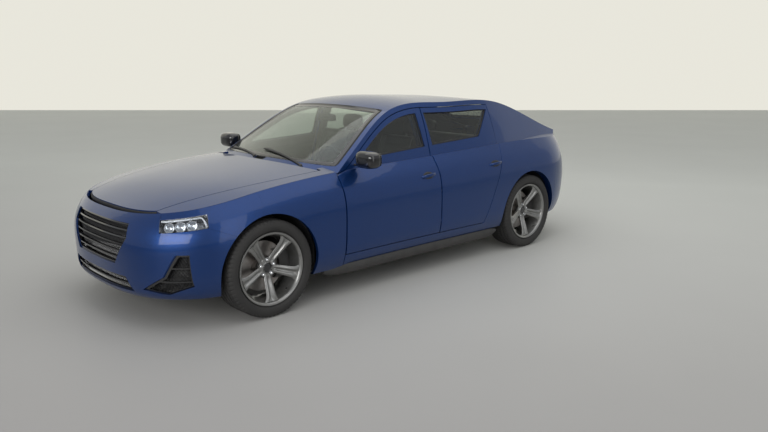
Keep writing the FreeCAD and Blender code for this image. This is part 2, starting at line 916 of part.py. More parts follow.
def backlight_runs():
    """Rear glass seen from above, inside the tailgate."""
    top_y = lid_top_y + d.backlight_head
    low_y = backlight_end_y
    frame = d.tailgate_frame
    low = roof_arc(low_y, tailgate_half_width(low_y) - frame, -d.tailgate_frame / 2)
    top = [(-tailgate_half_width(top_y) + frame, top_y), (tailgate_half_width(top_y) - frame, top_y)]
    return [top, [top[1], low[-1]], list(reversed(low)), [low[0], top[0]]]


def hood_runs():
    """Hood seen from above: round the nose, inside the fenders and in front of the windscreen."""
    edge = [spot for spot in nose_plan(d.bumper_wall + gap) if abs(spot[0]) < d.hood_front_half_width]
    rear = roof_arc(cowl_y - d.hood_rear_lead, d.hood_rear_half_width, d.hood_sweep)
    left = [edge[-1], (d.hood_axle_half_width, front_axle_y), rear[-1]]
    right = [(-x, y) for x, y in left]
    return [edge, left, list(reversed(rear)), list(reversed(right))]


arch_front = across(d.arch_radius, d.wheelhouse_inner, side_reach, front_axle_y, axle_height)
arch_rear = across(d.arch_radius, d.rear_wheelhouse_inner, side_reach, rear_axle_y, axle_height)
front_door_opening = from_side(front_door_runs(), 0.0, 0.0, None, slant)
rear_door_opening = from_side(rear_door_runs(), 0.0, 0.0, None, slant)

cabin_outside = cabin_solid(0.0, 0.0)
cabin_inside = cabin_solid(d.roof_wall, d.cabin_wall)

# Where the lamps and bumpers lie: shares of the way round a corner and of the section's height
HEADLAMP_SHARES = (0.46, 0.685, 0.80, 0.935)
TAIL_LAMP_SHARES = (0.47, 0.66, 0.72, 0.88)
FRONT_BUMPER_TOP_SHARE = 0.80
REAR_BUMPER_TOP_SHARE = 0.52


def fender_zone(growth):
    """Space that the left front fender takes of the nose: over the lamp and above the bumper's rear end."""
    t0, t1, s0, s1 = HEADLAMP_SHARES
    round_share = growth / d.front_corner_length
    tall_share = growth / (d.arch_shoulder_height - d.lip_height)
    over = front_patch(t0 - round_share, 1.0, s1 - tall_share, 1.0 + tall_share, d.skin, d.skin * 3)
    corner = front_point(t1, s0)
    bumper_end = d.arch_radius * 0.68 + axle_height
    behind = front_axle_y + d.arch_radius
    points = [
        (corner.y, corner.z),
        (corner.y, d.roof_height),
        (behind, d.roof_height),
        (behind, bumper_end),
        (front_axle_y - d.arch_radius * 0.62, bumper_end),
    ]
    return over.fuse(from_side(sides_of(points), growth, d.wheelhouse_inner))


def headlamp_zone(growth):
    t0, t1, s0, s1 = HEADLAMP_SHARES
    round_share = growth / d.front_corner_length
    tall_share = growth / (d.arch_shoulder_height - d.lip_height)
    return front_patch(t0 - round_share, t1 + round_share, s0 - tall_share, s1 + tall_share,
                       d.skin, d.skin * 3)


def rear_bumper_zone(growth):
    """Space that the rear bumper takes of the tail: the lower part, up to the arch."""
    tall_share = growth / (d.haunch_height - d.tail_lip_height)
    round_zone = rear_patch(-1.0, 1.0, 0.0, REAR_BUMPER_TOP_SHARE + tall_share, d.skin, d.skin * 5)
    behind = rear_axle_y + d.rear_bumper_end
    cut = block(-side_reach, side_reach, 0, behind - growth, 0, d.roof_height)
    return round_zone.cut(cut)


def tail_lamp_zone(growth):
    t0, t1, s0, s1 = TAIL_LAMP_SHARES
    round_share = growth / d.rear_corner_length
    tall_share = growth / (d.haunch_height - d.tail_lip_height)
    return rear_patch(t0 - round_share, t1 + round_share, s0 - tall_share, s1 + tall_share,
                      d.skin, d.skin * 5)


def post_prism(place_y, y0, y1, z0, z1, skin_low, skin_high, wall):
    """An upright post that follows the car's side from inside, between y0 and y1."""
    heights = even_steps(z0, z1, 7)

    def line(extra):
        spots = []
        for z in heights:
            low = z <= shoulder_edge(place_y)
            spots.append((surface_x(place_y, z) - (skin_low if low else skin_high) - extra, z))
        return spots

    outer = line(0.0)
    inner = line(wall)
    return from_front(sides_of(outer + list(reversed(inner))), 0.0, y0, y1)


nose_skin = front_patch(-1.0, 1.0, 0.0, 1.0, 0.0, d.skin)
tail_skin = rear_patch(-1.0, 1.0, 0.0, 1.0, 0.0, d.skin)
hood_opening = from_above(hood_runs(), gap)
lid_opening = from_above(tailgate_runs(d.lid_head_gap), gap, d.tail_lip_height)
door_openings = front_door_opening.fuse(rear_door_opening)
whole = (-side_reach, side_reach, nose_y, tail_y)


def door_swing_room():
    """Room at the post's rear edge for a left rear door's front edge, which swings inwards as it opens."""
    axis = hinge_axis(split_y)
    grown = d.swing_radius + d.swing_height * d.swing_lean
    return Part.makeCone(d.swing_radius, grown, d.swing_height, Vector(axis.x, axis.y, d.swing_foot))


def make_body_shell():
    """The welded body: sills, posts, roof, rear quarters, tail panel and cowl, round the door openings."""
    sill_top = d.door_sill_height - gap
    side = quarter_patch(0.0, d.door_wall)
    sill_end = rear_axle_y - d.wheelhouse_radius - d.wheelhouse_wall - rest_clear
    sill = side_slab(door_front_y - d.pillar_width, sill_end, d.skin, d.sill_width)
    sill = sill.common(block(d.floor_half_width + rest_clear, side_reach, nose_y, tail_y, d.floor_height, sill_top))
    ledge = top_slab(ledge_height, cowl_y, tail_y, d.skin).common(from_above(shoulder_plan(d.edge_setback)))
    ledge = ledge.cut(cabin_inside).cut(block(-side_reach, side_reach, nose_y, post_y, 0, d.roof_height))
    ledge = ledge.common(block(0, side_reach, nose_y, tail_y, 0, d.roof_height))
    hinge_post = post_prism(post_y, door_front_y - d.pillar_width, door_front_y + d.skin, d.sill_height,
                            d.tray_height, d.skin, d.cabin_wall, d.pillar_depth)
    hinge_post = hinge_post.cut(side_slab(front_corner_y, post_y, 0.0, d.skin + rest_clear))
    half = side.fuse(sill).fuse(ledge).fuse(hinge_post).cut(arch_rear)
    half = half.cut(door_openings).cut(lid_opening).cut(rear_bumper_zone(seam)).cut(tail_lamp_zone(seam))
    half = max(half.Solids, key=lambda solid: solid.Volume)
    band_rear = cowl_arc(cowl_y + d.screen_foot, side_reach)
    band_front = cowl_arc(cowl_y - d.screen_foot * 1.4, side_reach)
    band = from_above([band_rear, [band_rear[-1], band_front[-1]], list(reversed(band_front)),
                       [band_front[0], band_rear[0]]], 0.0, d.tray_height - d.skin / 2)
    ahead = from_above([band_front, [band_front[-1], (side_reach, nose_y)],
                        [(side_reach, nose_y), (-side_reach, nose_y)], [(-side_reach, nose_y), band_front[0]]])
    walls = cabin_outside.cut(cabin_inside).cut(block(*whole, 0, d.tray_height)).cut(ahead)
    walls = walls.cut(from_above(screen_runs())).cut(lid_opening).cut(on_both_sides(door_openings))
    walls = walls.cut(on_both_sides(tail_lamp_zone(seam)))
    tray = block(-d.hood_rear_half_width, d.hood_rear_half_width, cowl_y - d.hood_rear_lead * 2, post_y,
                 d.tray_height - d.skin, d.tray_height)
    shell = walls.fuse(cabin_outside.common(band).cut(on_both_sides(door_openings))).fuse(tray)
    shell = shell.fuse(half).fuse(mirrored(half))
    post_y0 = split_y - d.pillar_width / 2
    post = post_prism(split_y, post_y0, post_y0 + d.pillar_width, sill_top, rail_height(split_y),
                      d.post_skin, d.frame_skin, d.pillar_depth / 2)
    post = post.common(cabin_outside.fuse(block(*whole, 0, d.belt_height)))
    post_x = surface_x(split_y, sill_top) - d.post_skin
    foot = block(post_x - d.pillar_depth / 2, post_x, post_y0, post_y0 + d.pillar_width,
                 sill_top - d.skin, sill_top + d.skin)
    return shell.fuse(on_both_sides(post.cut(door_swing_room()).fuse(foot)))


def make_fender():
    """Left front fender: the side behind the wheel, the arch and the strip beside the hood, over the lamp."""
    side = side_slab(front_corner_y, post_y, 0.0, d.skin)
    corner = nose_skin.common(fender_zone(0.0)).cut(headlamp_zone(seam))
    top = top_slab(hood_height, nose_y, post_y + d.skin, d.skin * 0.8)
    top = top.common(from_above(shoulder_plan(d.edge_setback))).cut(hood_opening)
    top = top.common(block(d.hood_front_half_width / 2, side_reach, nose_y, post_y, 0, d.roof_height))
    corner_y = front_point(HEADLAMP_SHARES[0], 1.0).y
    ahead = block(0, side_reach, nose_y, corner_y, 0, d.roof_height)
    behind_hood = block(0, d.hood_axle_half_width, cowl_y - d.hood_rear_lead, post_y + d.skin, 0, d.roof_height)
    cabin_clear = cabin_outside.copy()
    cabin_clear.translate(Vector(seam, 0, seam))
    bumper_room = front_patch(-1.0, 1.0, 0.0, 1.0, seam, d.skin + seam).cut(fender_zone(seam / 2))
    hood_room = across(d.hood_swing_room, 0, d.hood_rear_half_width + gap, hood_axis.y, hood_axis.z)
    top = top.cut(ahead).cut(behind_hood).cut(cabin_outside).cut(cabin_clear).cut(bumper_room).cut(hood_room)
    return corner.fuse(side).fuse(top).cut(arch_front)


def make_front_bumper():
    """Bumper cover: the whole nose below the lamps and hood, back to the arches, with its intakes cut."""
    cover = nose_skin.cut(on_both_sides(fender_zone(seam))).cut(on_both_sides(headlamp_zone(seam)))
    cover = cover.cut(on_both_sides(arch_front))
    for opening in nose_openings():
        cover = cover.cut(from_front(opening, 0.0, nose_y - CUT_OVERRUN, front_corner_y))
    return cover


def upper_grille_runs():
    top, foot = d.grille_top_height, d.grille_foot_height
    return sides_of([
        (-d.grille_half_width, top), (-d.grille_half_width * 1.04, (top * 2 + foot) / 3),
        (-d.grille_foot_half_width, foot), (d.grille_foot_half_width, foot),
        (d.grille_half_width * 1.04, (top * 2 + foot) / 3), (d.grille_half_width, top),
    ])


def lower_grille_runs():
    top, foot = d.lower_intake_height, d.lower_intake_foot
    return sides_of([
        (-d.grille_half_width, top), (-d.lower_intake_half_width, foot),
        (d.lower_intake_half_width, foot), (d.grille_half_width, top),
    ])


def corner_intake_runs():
    """The slanted intake under the left lamp, seen from the nose."""
    inner, outer = d.intake_inner, d.intake_outer
    low, high = d.lower_intake_foot, d.intake_top
    return sides_of([
        (inner, low + (high - low) * 0.10), (inner + (outer - inner) * 0.55, low),
        (outer, low + (high - low) * 0.22), (outer, high),
        (outer - (outer - inner) * 0.22, high), (inner + (outer - inner) * 0.52, low + (high - low) * 0.45),
    ])


def nose_openings():
    left = corner_intake_runs()
    right = [[(-x, z) for x, z in run] for run in left]
    return [upper_grille_runs(), lower_grille_runs(), left, right]


def grille_bars(runs, x_half, z0, z1, rows):
    """A sunk frame with level bars that follow the nose, inside one opening."""
    layer = front_patch(-1.0, 1.0, 0.0, 1.0, -d.skin * 0.4, d.skin)
    inside = from_front(runs, -seam, nose_y - CUT_OVERRUN, front_corner_y)
    hole = from_front(runs, -seam - d.mesh_wall, nose_y - CUT_OVERRUN, front_corner_y)
    plate = layer.common(inside)
    pitch = (z1 - z0) / rows
    slots = [block(-x_half, x_half, nose_y - CUT_OVERRUN, front_corner_y, z0 + pitch * i + d.mesh_bar / 2,
                   z0 + pitch * (i + 1) - d.mesh_bar / 2) for i in range(int(rows))]
    cutter = slots[0].fuse(slots[1:]).common(hole)
    return plate.cut(cutter)


def make_grille():
    """Upper and lower grilles and the two corner intakes, as sunk frames with level bars."""
    upper = grille_bars(upper_grille_runs(), side_reach, d.grille_foot_height, d.grille_top_height, d.grille_rows)
    lower = grille_bars(lower_grille_runs(), side_reach, d.lower_intake_foot, d.lower_intake_height, 2)
    corner = grille_bars(corner_intake_runs(), side_reach, d.lower_intake_foot, d.intake_top, 3)
    return Part.makeCompound([upper, lower, corner, mirrored(corner)])


def make_headlamps():
    t0, t1, s0, s1 = HEADLAMP_SHARES
    lamp = front_patch(t0, t1, s0, s1, -d.lamp_recess, d.skin * 2.4)
    return Part.makeCompound([lamp, mirrored(lamp)])


def make_tail_lamps():
    t0, t1, s0, s1 = TAIL_LAMP_SHARES
    lamp = rear_patch(t0, t1, s0, s1, -d.lamp_recess, d.skin * 2.4)
    return Part.makeCompound([lamp, mirrored(lamp)])


def tailpipe_ends():
    """Where the left tailpipe starts in the silencer and ends behind the bumper's lower edge."""
    silencer_y = rear_axle_y + d.wheelhouse_radius + d.skin
    z = d.rear_floor_height - d.floor_wall - seam - d.silencer_height / 2
    start = Vector(d.tailpipe_half_width, silencer_y + d.silencer_length / 2, z)
    return start, Vector(d.tailpipe_half_width, tail_y - d.tailpipe_inset, d.tailpipe_height)


def make_rear_bumper():
    """Lower half of the tail, round both corners to the arches, with room for the tailpipes."""
    start, end = tailpipe_ends()
    room = bar(d.tailpipe_radius + gap, start, end + (end - start) * 0.5)
    return tail_skin.common(rear_bumper_zone(0.0)).cut(on_both_sides(arch_rear)).cut(on_both_sides(room))


def make_hood():
    return top_slab(hood_height, nose_y, post_y, d.skin * 0.8).common(from_above(hood_runs()))


def make_windshield():
    layer = top_slab(cabin_height, cowl_y, peak_y, d.glass_wall, d.glass_inset / 4)
    return layer.common(from_above(screen_runs(), -seam / 2))


def make_tailgate():
    """Lid from the roof's end over the rear glass and deck, and down the tail to the bumper."""
    deck = top_slab(cabin_height, peak_y, deck_edge_y, d.roof_wall * 0.8)
    block_top = deck.common(from_above(tailgate_runs())).common(from_above(shoulder_plan(d.edge_setback)))
    face = rear_patch(-0.62, 0.62, REAR_BUMPER_TOP_SHARE + 0.012, 1.0, 0.0, d.skin * 1.4)
    face = face.common(from_above(tailgate_runs()))
    joiner = block(-d.tailgate_top_half_width, d.tailgate_top_half_width, deck_edge_y - d.deck_edge_setback,
                   deck_edge_y - d.skin, d.tail_shoulder_height - d.skin * 2, d.deck_height - d.roof_wall * 0.9)
    lid = block_top.fuse(face).fuse(joiner)
    return lid.cut(from_above(backlight_runs(), 0.0, d.belt_height))


def make_tailgate_glass():
    layer = top_slab(cabin_height, peak_y, deck_edge_y, d.glass_wall, d.glass_inset / 4)
    return layer.common(from_above(backlight_runs(), -seam / 2, d.belt_height))


def cabin_side_slab(y0, y1, skin, deep):
    """The left wall of the cabin between two places, from skin to deep inside its surface."""
    face = surface_face(lambda y, z: Vector(cabin_half_width(y, z) - skin, y, z), even_steps(y0, y1, 7),
                        even_steps(shoulder_edge(y0) - d.frame_width * 2, d.roof_height, 4))
    return face.extrude(Vector(skin - deep, 0, 0))


def make_door(opening_runs, window_runs, y0, y1):
    """Left door: the side panel up to the belt, with the window frame above it."""
    prism = from_side(opening_runs, -gap, 0.0, None, slant)
    lower = side_slab(y0, y1, 0.0, d.door_wall)
    upper = cabin_side_slab(y0, y1, 0.0, d.cabin_wall)
    ledge = top_slab(ledge_height, y0, y1, d.skin).common(from_above(shoulder_plan(d.edge_setback)))
    ledge = ledge.cut(cabin_inside)
    ledge = ledge.common(block(0, side_reach, y0, y1, 0, d.roof_height))
    door = lower.fuse(upper).fuse(ledge).common(prism)
    return door.cut(from_side(window_runs))


def make_side_glass(window_runs, y0, y1):
    layer = cabin_side_slab(y0, y1, d.glass_inset, d.glass_inset + d.glass_wall)
    return layer.common(from_side(window_runs, -seam / 2))



kingpin_x = d.half_track - d.kingpin_inset
front_hub = Vector(d.half_track, front_axle_y, axle_height)
rear_hub = Vector(d.half_track, rear_axle_y, axle_height)


class Size:
    """A length with the sheet's formula for it, so that a sketch can be bound to the named sizes."""

    def __init__(self, value, formula):
        self.value = value
        self.formula = formula

    def _with(self, other, sign, value):
        formula = other.formula if isinstance(other, Size) else str(other)
        return Size(value, f"({self.formula} {sign} {formula})")

    def __add__(self, other):
        return self._with(other, "+", self.value + number(other))

    def __sub__(self, other):
        return self._with(other, "-", self.value - number(other))

    def __mul__(self, other):
        return self._with(other, "*", self.value * number(other))

    def __truediv__(self, other):
        return self._with(other, "/", self.value / number(other))

    def __neg__(self):
        return Size(-self.value, f"(-1 * {self.formula})")


def number(thing):
    return thing.value if isinstance(thing, Size) else float(thing)


def size(name):
    return Size(getattr(d, name), f"dims.{name}")


def origin_part(body, role):
    for feature in body.Origin.OriginFeatures:
        if feature.Role == role:
            return feature
    raise ValueError(role)


def bound_sketch(body, name, plane, points):
    """A closed polygon on one of the body's planes, each corner bound to the sheet's sizes."""
    sketch = body.newObject("Sketcher::SketchObject", name)
    sketch.AttachmentSupport = [(origin_part(body, plane), "")]
    sketch.MapMode = "FlatFace"
    spots = [Vector(number(a), number(b), 0) for a, b in points]
    for start, end in zip(spots, spots[1:] + spots[:1]):
        sketch.addGeometry(Part.LineSegment(start, end), False)
    count = len(spots)
    for i in range(count):
        sketch.addConstraint(Sketcher.Constraint("Coincident", i, 2, (i + 1) % count, 1))
    for i, (a, b) in enumerate(points):
        for kind, place in (("DistanceX", a), ("DistanceY", b)):
            index = sketch.addConstraint(Sketcher.Constraint(kind, -1, 1, i, 1, number(place)))
            if isinstance(place, Size):
                sketch.setExpression(f"Constraints[{index}]", place.formula)
    return sketch


def revolved(body, name, points):
    """The profile (along the axle, out from it) turned once round the axle."""
    sketch = bound_sketch(body, name + "_profile", "XY_Plane", points)
    turn = body.newObject("PartDesign::Revolution", name)
    turn.Profile = sketch
    turn.ReferenceAxis = (sketch, ["H_Axis"])
    turn.Angle = 360
    return turn


def wheel_placement(hub, side):
    """Where a wheel's own frame goes: its X axis points out of the car on either side."""
    turn = Rotation(Vector(0, 0, 1), 0 if side > 0 else 180)
    return Placement(Vector(hub.x * side, hub.y, hub.z), turn)


def add_tyre(name, hub, side):
    body = doc.addObject("PartDesign::Body", name)
    body.Label = name
    half = size("tyre_width") / 2
    tread = size("tyre_tread_width") / 2
    outer = size("tyre_diameter") / 2
    seat = size("rim_seat_radius") + size("seat_gap")
    bead = size("rim_width") / 2 - size("rim_flange_wall") - size("seat_gap")
    flange = size("rim_flange_radius") + size("seat_gap") * 4
    tall = outer - flange
    half_profile = [
        (bead, seat), (bead, flange), (half, flange + tall * 0.36), (half - (half - tread) * 0.3, outer - tall * 0.22),
        (tread, outer),
    ]
    mirror = [(-a, b) for a, b in reversed(half_profile)]
    revolved(body, name + "_carcass", half_profile + mirror)
    body.Placement = wheel_placement(hub, side)
    parts.append(body)


def add_rim(name, hub, side):
    """Five-spoke rim: a barrel with flanges, a dished face and a hub, then the windows and slots cut."""
    body = doc.addObject("PartDesign::Body", name)
    body.Label = name
    half = size("rim_width") / 2
    seat = size("rim_seat_radius")
    flange = size("rim_flange_radius")
    lip = size("rim_flange_wall")
    inside = seat - size("rim_wall")
    hub_r = size("hub_radius")
    back = size("hub_back")
    front = size("hub_front")
    face = half - lip
    profile = [
        (back, 0), (back, hub_r), (face - size("spoke_wall") * 1.4, inside), (-half + lip, inside),
        (-half, seat), (-half, flange), (-half + lip, flange), (-half + lip, seat),
        (half - lip, seat), (half - lip, flange), (half, flange), (half, seat),
        (half - lip * 0.5, inside), (face - lip * 0.4, inside - size("rim_wall") * 0.5),
        (front + (face - front) * 0.42, hub_r + (inside - hub_r) * 0.5), (front, hub_r), (front, 0),
    ]
    revolved(body, name + "_turned", profile)
    doc.recompute()
    low = hub_r + size("rim_wall") * 0.6
    high = inside - size("rim_wall") * 0.8
    foot = size("window_foot_half")
    top = size("window_top_half")
    corner = size("window_corner")
    window = [
        (low, -foot * 0.5), (low + corner * 0.5, -foot), (high - corner, -top), (high - corner * 0.3, -top * 0.9),
        (high, -top * 0.45), (high, top * 0.45), (high - corner * 0.3, top * 0.9), (high - corner, top),
        (low + corner * 0.5, foot), (low, foot * 0.5),
    ]
    turned = [(a, b) for a, b in window]
    cut = bound_sketch(body, name + "_window", "YZ_Plane", turned)
    pocket = body.newObject("PartDesign::Pocket", name + "_window_cut")
    pocket.Profile = cut
    pocket.Type = 1
    pocket.Midplane = True
    doc.recompute()
    pattern = body.newObject("PartDesign::PolarPattern", name + "_windows")
    pattern.Originals = [pocket]
    pattern.Axis = (cut, ["N_Axis"])
    pattern.Angle = 360
    pattern.Occurrences = int(d.spoke_count)
    pattern.setExpression("Occurrences", "dims.spoke_count")
    body.Tip = pattern
    doc.recompute()
    body.Placement = wheel_placement(hub, side)
    # A spoke points straight down, as between two windows
    body.Placement = body.Placement.multiply(Placement(Vector(), Rotation(Vector(1, 0, 0), 90)))
    parts.append(body)


def add_disc(name, hub, side):
    body = doc.addObject("PartDesign::Body", name)
    body.Label = name
    back = -size("disc_back")
    front = back + size("disc_wall")
    outer = size("disc_diameter") / 2
    hat = size("disc_inner")
    wall = size("rim_wall") * 0.7
    face = size("hub_back") - size("seat_gap")
    bore = size("spindle_radius") + size("hinge_play")
    profile = [
        (back, hat - wall), (back, outer), (front, outer), (front, hat), (face, hat), (face, bore),
        (face - wall, bore), (face - wall, hat - wall),
    ]
    revolved(body, name + "_turned", profile)
    body.Placement = wheel_placement(hub, side)
    parts.append(body)


def upright_shape(hub, steers):
    """Left hub carrier: upright, spindle, caliper over the disc and, in front, the steering arm."""
    x1 = hub.x - (d.upright_back - d.upright_depth)
    x0 = hub.x - d.upright_back
    y, z = hub.y, hub.z
    tall, wide = d.upright_half_height, d.upright_half_width
    plate = block(x0, x1, y - wide, y + wide, z - tall, z + tall)
    spindle = across(d.spindle_radius, x1 - rest_clear, hub.x + d.hub_back - rest_clear, y, z)
    disc_x0 = hub.x - d.disc_back
    disc_x1 = disc_x0 + d.disc_wall
    reach = d.caliper_radius
    ring = across(reach, disc_x0 - d.caliper_wall, disc_x1 + d.caliper_wall, y, z)
    ring = ring.cut(across(d.disc_diameter / 2 - d.caliper_wall * 2, x0, hub.x + d.hub_front, y, z))
    half = d.caliper_length / 2
    caliper = ring.common(block(x0, hub.x + d.hub_front, y, y + reach, z - half, z + half))
    play = d.disc_play
    caliper = caliper.cut(across(d.disc_diameter / 2 + play, disc_x0 - play, disc_x1 + play, y, z))
    bracket = block(x0, disc_x0 - d.disc_play, y, y + reach - d.caliper_wall * 2, z - wide, z + wide)
    shape = plate.fuse(spindle).fuse(caliper).fuse(bracket)
    if steers:
        arm = block(x0, x0 + d.arm_half_width, y + wide / 2, y + d.steering_arm, z - tall / 2 - d.arm_half_width,
                    z - tall / 2)
        shape = shape.fuse(arm)
    return shape


def arm_shape(hub, inner_x, z0, spread):
    """Left wishbone: a plate from its joint at the upright to two feet at the frame."""
    wide = d.arm_half_width
    tip = d.arm_tip
    face = closed_face(sides_of([
        (kingpin_x + tip, hub.y - tip / 2), (kingpin_x + tip, hub.y + tip / 2), (kingpin_x, hub.y + tip),
        (inner_x, hub.y + spread), (inner_x, hub.y + spread - wide * 1.6),
        (kingpin_x - wide * 3, hub.y), (inner_x, hub.y - spread + wide * 1.6), (inner_x, hub.y - spread),
        (kingpin_x, hub.y - tip),
    ]), lambda x, y: Vector(x, y, z0))
    return face.extrude(Vector(0, 0, d.arm_wall))


def make_front_suspension():
    """Crossmember with its towers, two wishbones a side, and the springs and dampers."""
    hub = front_hub
    low = hub.z - d.upright_half_height - rest_clear - d.arm_wall
    high = hub.z + d.upright_half_height + rest_clear
    inner = d.frame_half_width - d.frame_rail
    half = d.crossmember_length / 2
    house_top = hub.z + math.sqrt(d.wheelhouse_radius**2 - d.spring_radius**2) - rest_clear
    damper_x = hub.x - d.damper_inset
    left = arm_shape(hub, inner, low, d.arm_spread).fuse(arm_shape(hub, inner, high, d.arm_spread * 0.8))
    left = left.fuse([
        block(inner - d.arm_wall, inner + d.arm_wall, hub.y - half, hub.y + half, d.crossmember_foot,
              high + d.arm_wall),
        upright(d.damper_radius, low, house_top, damper_x, hub.y),
        upright(d.spring_radius, high + d.arm_wall * 2, house_top, damper_x, hub.y),
    ])
    beam = block(-inner, inner, hub.y - half, hub.y + half, d.crossmember_foot, low + d.arm_wall)
    return beam.fuse(left).fuse(mirrored(left))


def make_rear_suspension():
    """Crossmember, wishbones, springs, links and the fixed hub carriers of the rear wheels."""
    hub = rear_hub
    low = hub.z - d.upright_half_height - rest_clear - d.arm_wall
    inner = d.frame_half_width - d.frame_rail
    half = d.crossmember_length / 2
    floor_under = d.rear_floor_height - d.floor_wall
    link_z = floor_under - d.arm_wall * 2
    joint_x = hub.x - d.upright_back + d.upright_depth / 2
    left = arm_shape(hub, inner, low, d.arm_spread)
    left = left.fuse([
        block(inner - d.arm_wall, inner + d.arm_wall, hub.y - half, hub.y + half, d.crossmember_foot,
              link_z + d.arm_wall),
        bar(d.arm_wall / 2, Vector(inner, hub.y, link_z), Vector(joint_x, hub.y, link_z)),
        upright(d.spring_radius, low, floor_under - rest_clear, (inner + joint_x) / 2, hub.y),
        upright(d.hinge_sleeve, low, hub.z, joint_x, hub.y),
        upright_shape(hub, False),
    ])
    beam = block(-inner, inner, hub.y - half, hub.y + half, d.crossmember_foot, low + d.arm_wall)
    return beam.fuse(left).fuse(mirrored(left))


def wheelhouse(hub, inner_x, z0, window_top):
    """Left wheelhouse: half a drum over the wheel, its inner wall open to the suspension up to window_top."""
    outer = across(d.wheelhouse_radius + d.wheelhouse_wall, inner_x, d.wheelhouse_outer, hub.y, hub.z)
    inside = across(d.wheelhouse_radius, inner_x + d.wheelhouse_wall, d.wheelhouse_outer + CUT_OVERRUN, hub.y, hub.z)
    drum = outer.cut(inside)
    drum = drum.cut(block(0, side_reach, hub.y - d.wheelhouse_radius * 2, hub.y + d.wheelhouse_radius * 2, -hub.z, z0))
    window = d.arm_spread + d.arm_half_width
    return drum.cut(block(0, inner_x + d.wheelhouse_wall * 2, hub.y - window, hub.y + window, 0, window_top))


def make_front_frame():
    """Front rails, wheelhouses and the radiator with its carrier."""
    rail_x0 = d.frame_half_width
    rail_x1 = d.wheelhouse_inner + d.wheelhouse_wall
    front = nose_y + d.radiator_lead - d.radiator_wall
    firewall_y = door_front_y - d.firewall_lead
    rail = block(rail_x0, rail_x1, front, firewall_y - rest_clear, d.frame_rail_foot,
                 d.frame_rail_foot + d.frame_rail)
    house = wheelhouse(front_hub, d.wheelhouse_inner, d.sill_height,
                       axle_height + d.upright_half_height + d.arm_wall * 3)
    house = house.cut(front_patch(0.0, 1.0, 0.0, 1.0, rest_clear, d.skin + rest_clear))
    rail = rail.cut(across(d.wheelhouse_radius, d.wheelhouse_inner + d.wheelhouse_wall, side_reach,
                           front_axle_y, axle_height))
    left = rail.fuse(house)
    carrier = block(-rail_x1, rail_x1, front, front + d.radiator_wall, d.sill_height, d.radiator_height)
    return left.fuse(mirrored(left)).fuse(carrier)


def make_floor_pan():
    """Floor with its tunnel, firewall, raised rear floor and rear wheelhouses."""
    half = d.floor_half_width
    wall = d.floor_wall
    low = d.floor_height
    top = d.tunnel_height
    tunnel = d.tunnel_half_width
    firewall_y = door_front_y - d.firewall_lead
    profile = [
        (-half, low), (-tunnel, low), (-tunnel, top - wall), (tunnel, top - wall), (tunnel, low), (half, low),
        (half, low + wall), (tunnel + wall, low + wall), (tunnel + wall, top), (-tunnel - wall, top),
        (-tunnel - wall, low + wall), (-half, low + wall),
    ]
    floor = from_front(sides_of(profile), 0.0, firewall_y, d.rear_floor_start)
    firewall = block(-d.hood_rear_half_width * 0.92, d.hood_rear_half_width * 0.92, firewall_y,
                     firewall_y + d.firewall_wall, low, d.tray_height - d.skin - rest_clear)
    firewall = firewall.cut(block(-tunnel, tunnel, nose_y, tail_y, 0, top - wall))
    inner = d.rear_wheelhouse_inner
    riser = block(-inner, inner, d.rear_floor_start - wall, d.rear_floor_start, low, d.rear_floor_height)
    riser = riser.cut(block(-tunnel, tunnel, nose_y, tail_y, 0, top - wall))
    rear = block(-inner, inner, d.rear_floor_start - wall, d.rear_floor_end, d.rear_floor_height - wall,
                 d.rear_floor_height)
    house = wheelhouse(rear_hub, inner - d.wheelhouse_wall, d.tail_lip_height, d.rear_floor_height - d.floor_wall)
    house = house.cut(quarter_patch(rest_clear, d.door_wall + rest_clear))
    return floor.fuse(firewall).fuse(riser).fuse(rear).fuse(house).fuse(mirrored(house))


def rounded(shape, radius, picks):
    """The solid with a fillet on each edge that picks(edge) takes."""
    return shape.makeFillet(radius, [edge for edge in shape.Edges if picks(edge)])


def bevelled(shape, width, picks):
    """The solid with a flat bevel on each edge that picks(edge) takes."""
    return shape.makeChamfer(width, [edge for edge in shape.Edges if picks(edge)])


def seat_profile(front, back_height, cushion_z0):
    """Seen from the side: cushion, reclined back and its foot."""
    rear = front + d.seat_depth
    wall = d.seat_wall
    lean = d.seat_back_lean
    return [
        (front, cushion_z0), (front - wall * 0.1, d.seat_height - wall * 0.35), (front + wall * 0.4, d.seat_height),
        (rear - wall * 0.5, d.seat_height - wall * 0.4), (rear + lean - wall * 0.9, back_height - wall * 0.15),
        (rear + lean - wall * 0.5, back_height), (rear + lean, back_height - wall * 0.2),
        (rear + wall * 0.5, cushion_z0),
    ]


def make_front_seats():
    """Two bucket seats with headrests, on the floor."""
    front = front_axle_y + d.wheelbase / 2 - d.seat_front
    x0 = d.seat_place - d.seat_half_width
    x1 = d.seat_place + d.seat_half_width
    seat = from_side(sides_of(seat_profile(front, d.seat_back_height, d.floor_height + d.floor_wall)), 0.0, x0, x1)
    seat = bevelled(seat, d.seat_wall * 0.18, lambda edge: abs(edge.tangentAt(edge.FirstParameter).x) < 0.5
                   and edge.BoundBox.ZMax > d.seat_height * 0.8)
    top_y = front + d.seat_depth + d.seat_back_lean - d.seat_wall * 0.5
    head = block(d.seat_place - d.headrest_half_width, d.seat_place + d.headrest_half_width,
                 top_y - d.seat_wall * 0.45, top_y + d.seat_wall * 0.4, d.seat_back_height + d.seat_wall * 0.2,
                 d.headrest_height)
    head = bevelled(head, d.seat_wall * 0.2, lambda edge: True)
    stalks = [upright(d.wiper_radius, d.seat_back_height - d.seat_wall * 0.5, d.seat_back_height + d.seat_wall * 0.4,
                      d.seat_place + side * d.headrest_half_width * 0.5, top_y) for side in (-1, 1)]
    seat = seat.fuse(head).fuse(stalks)
    return Part.makeCompound([seat, mirrored(seat)])


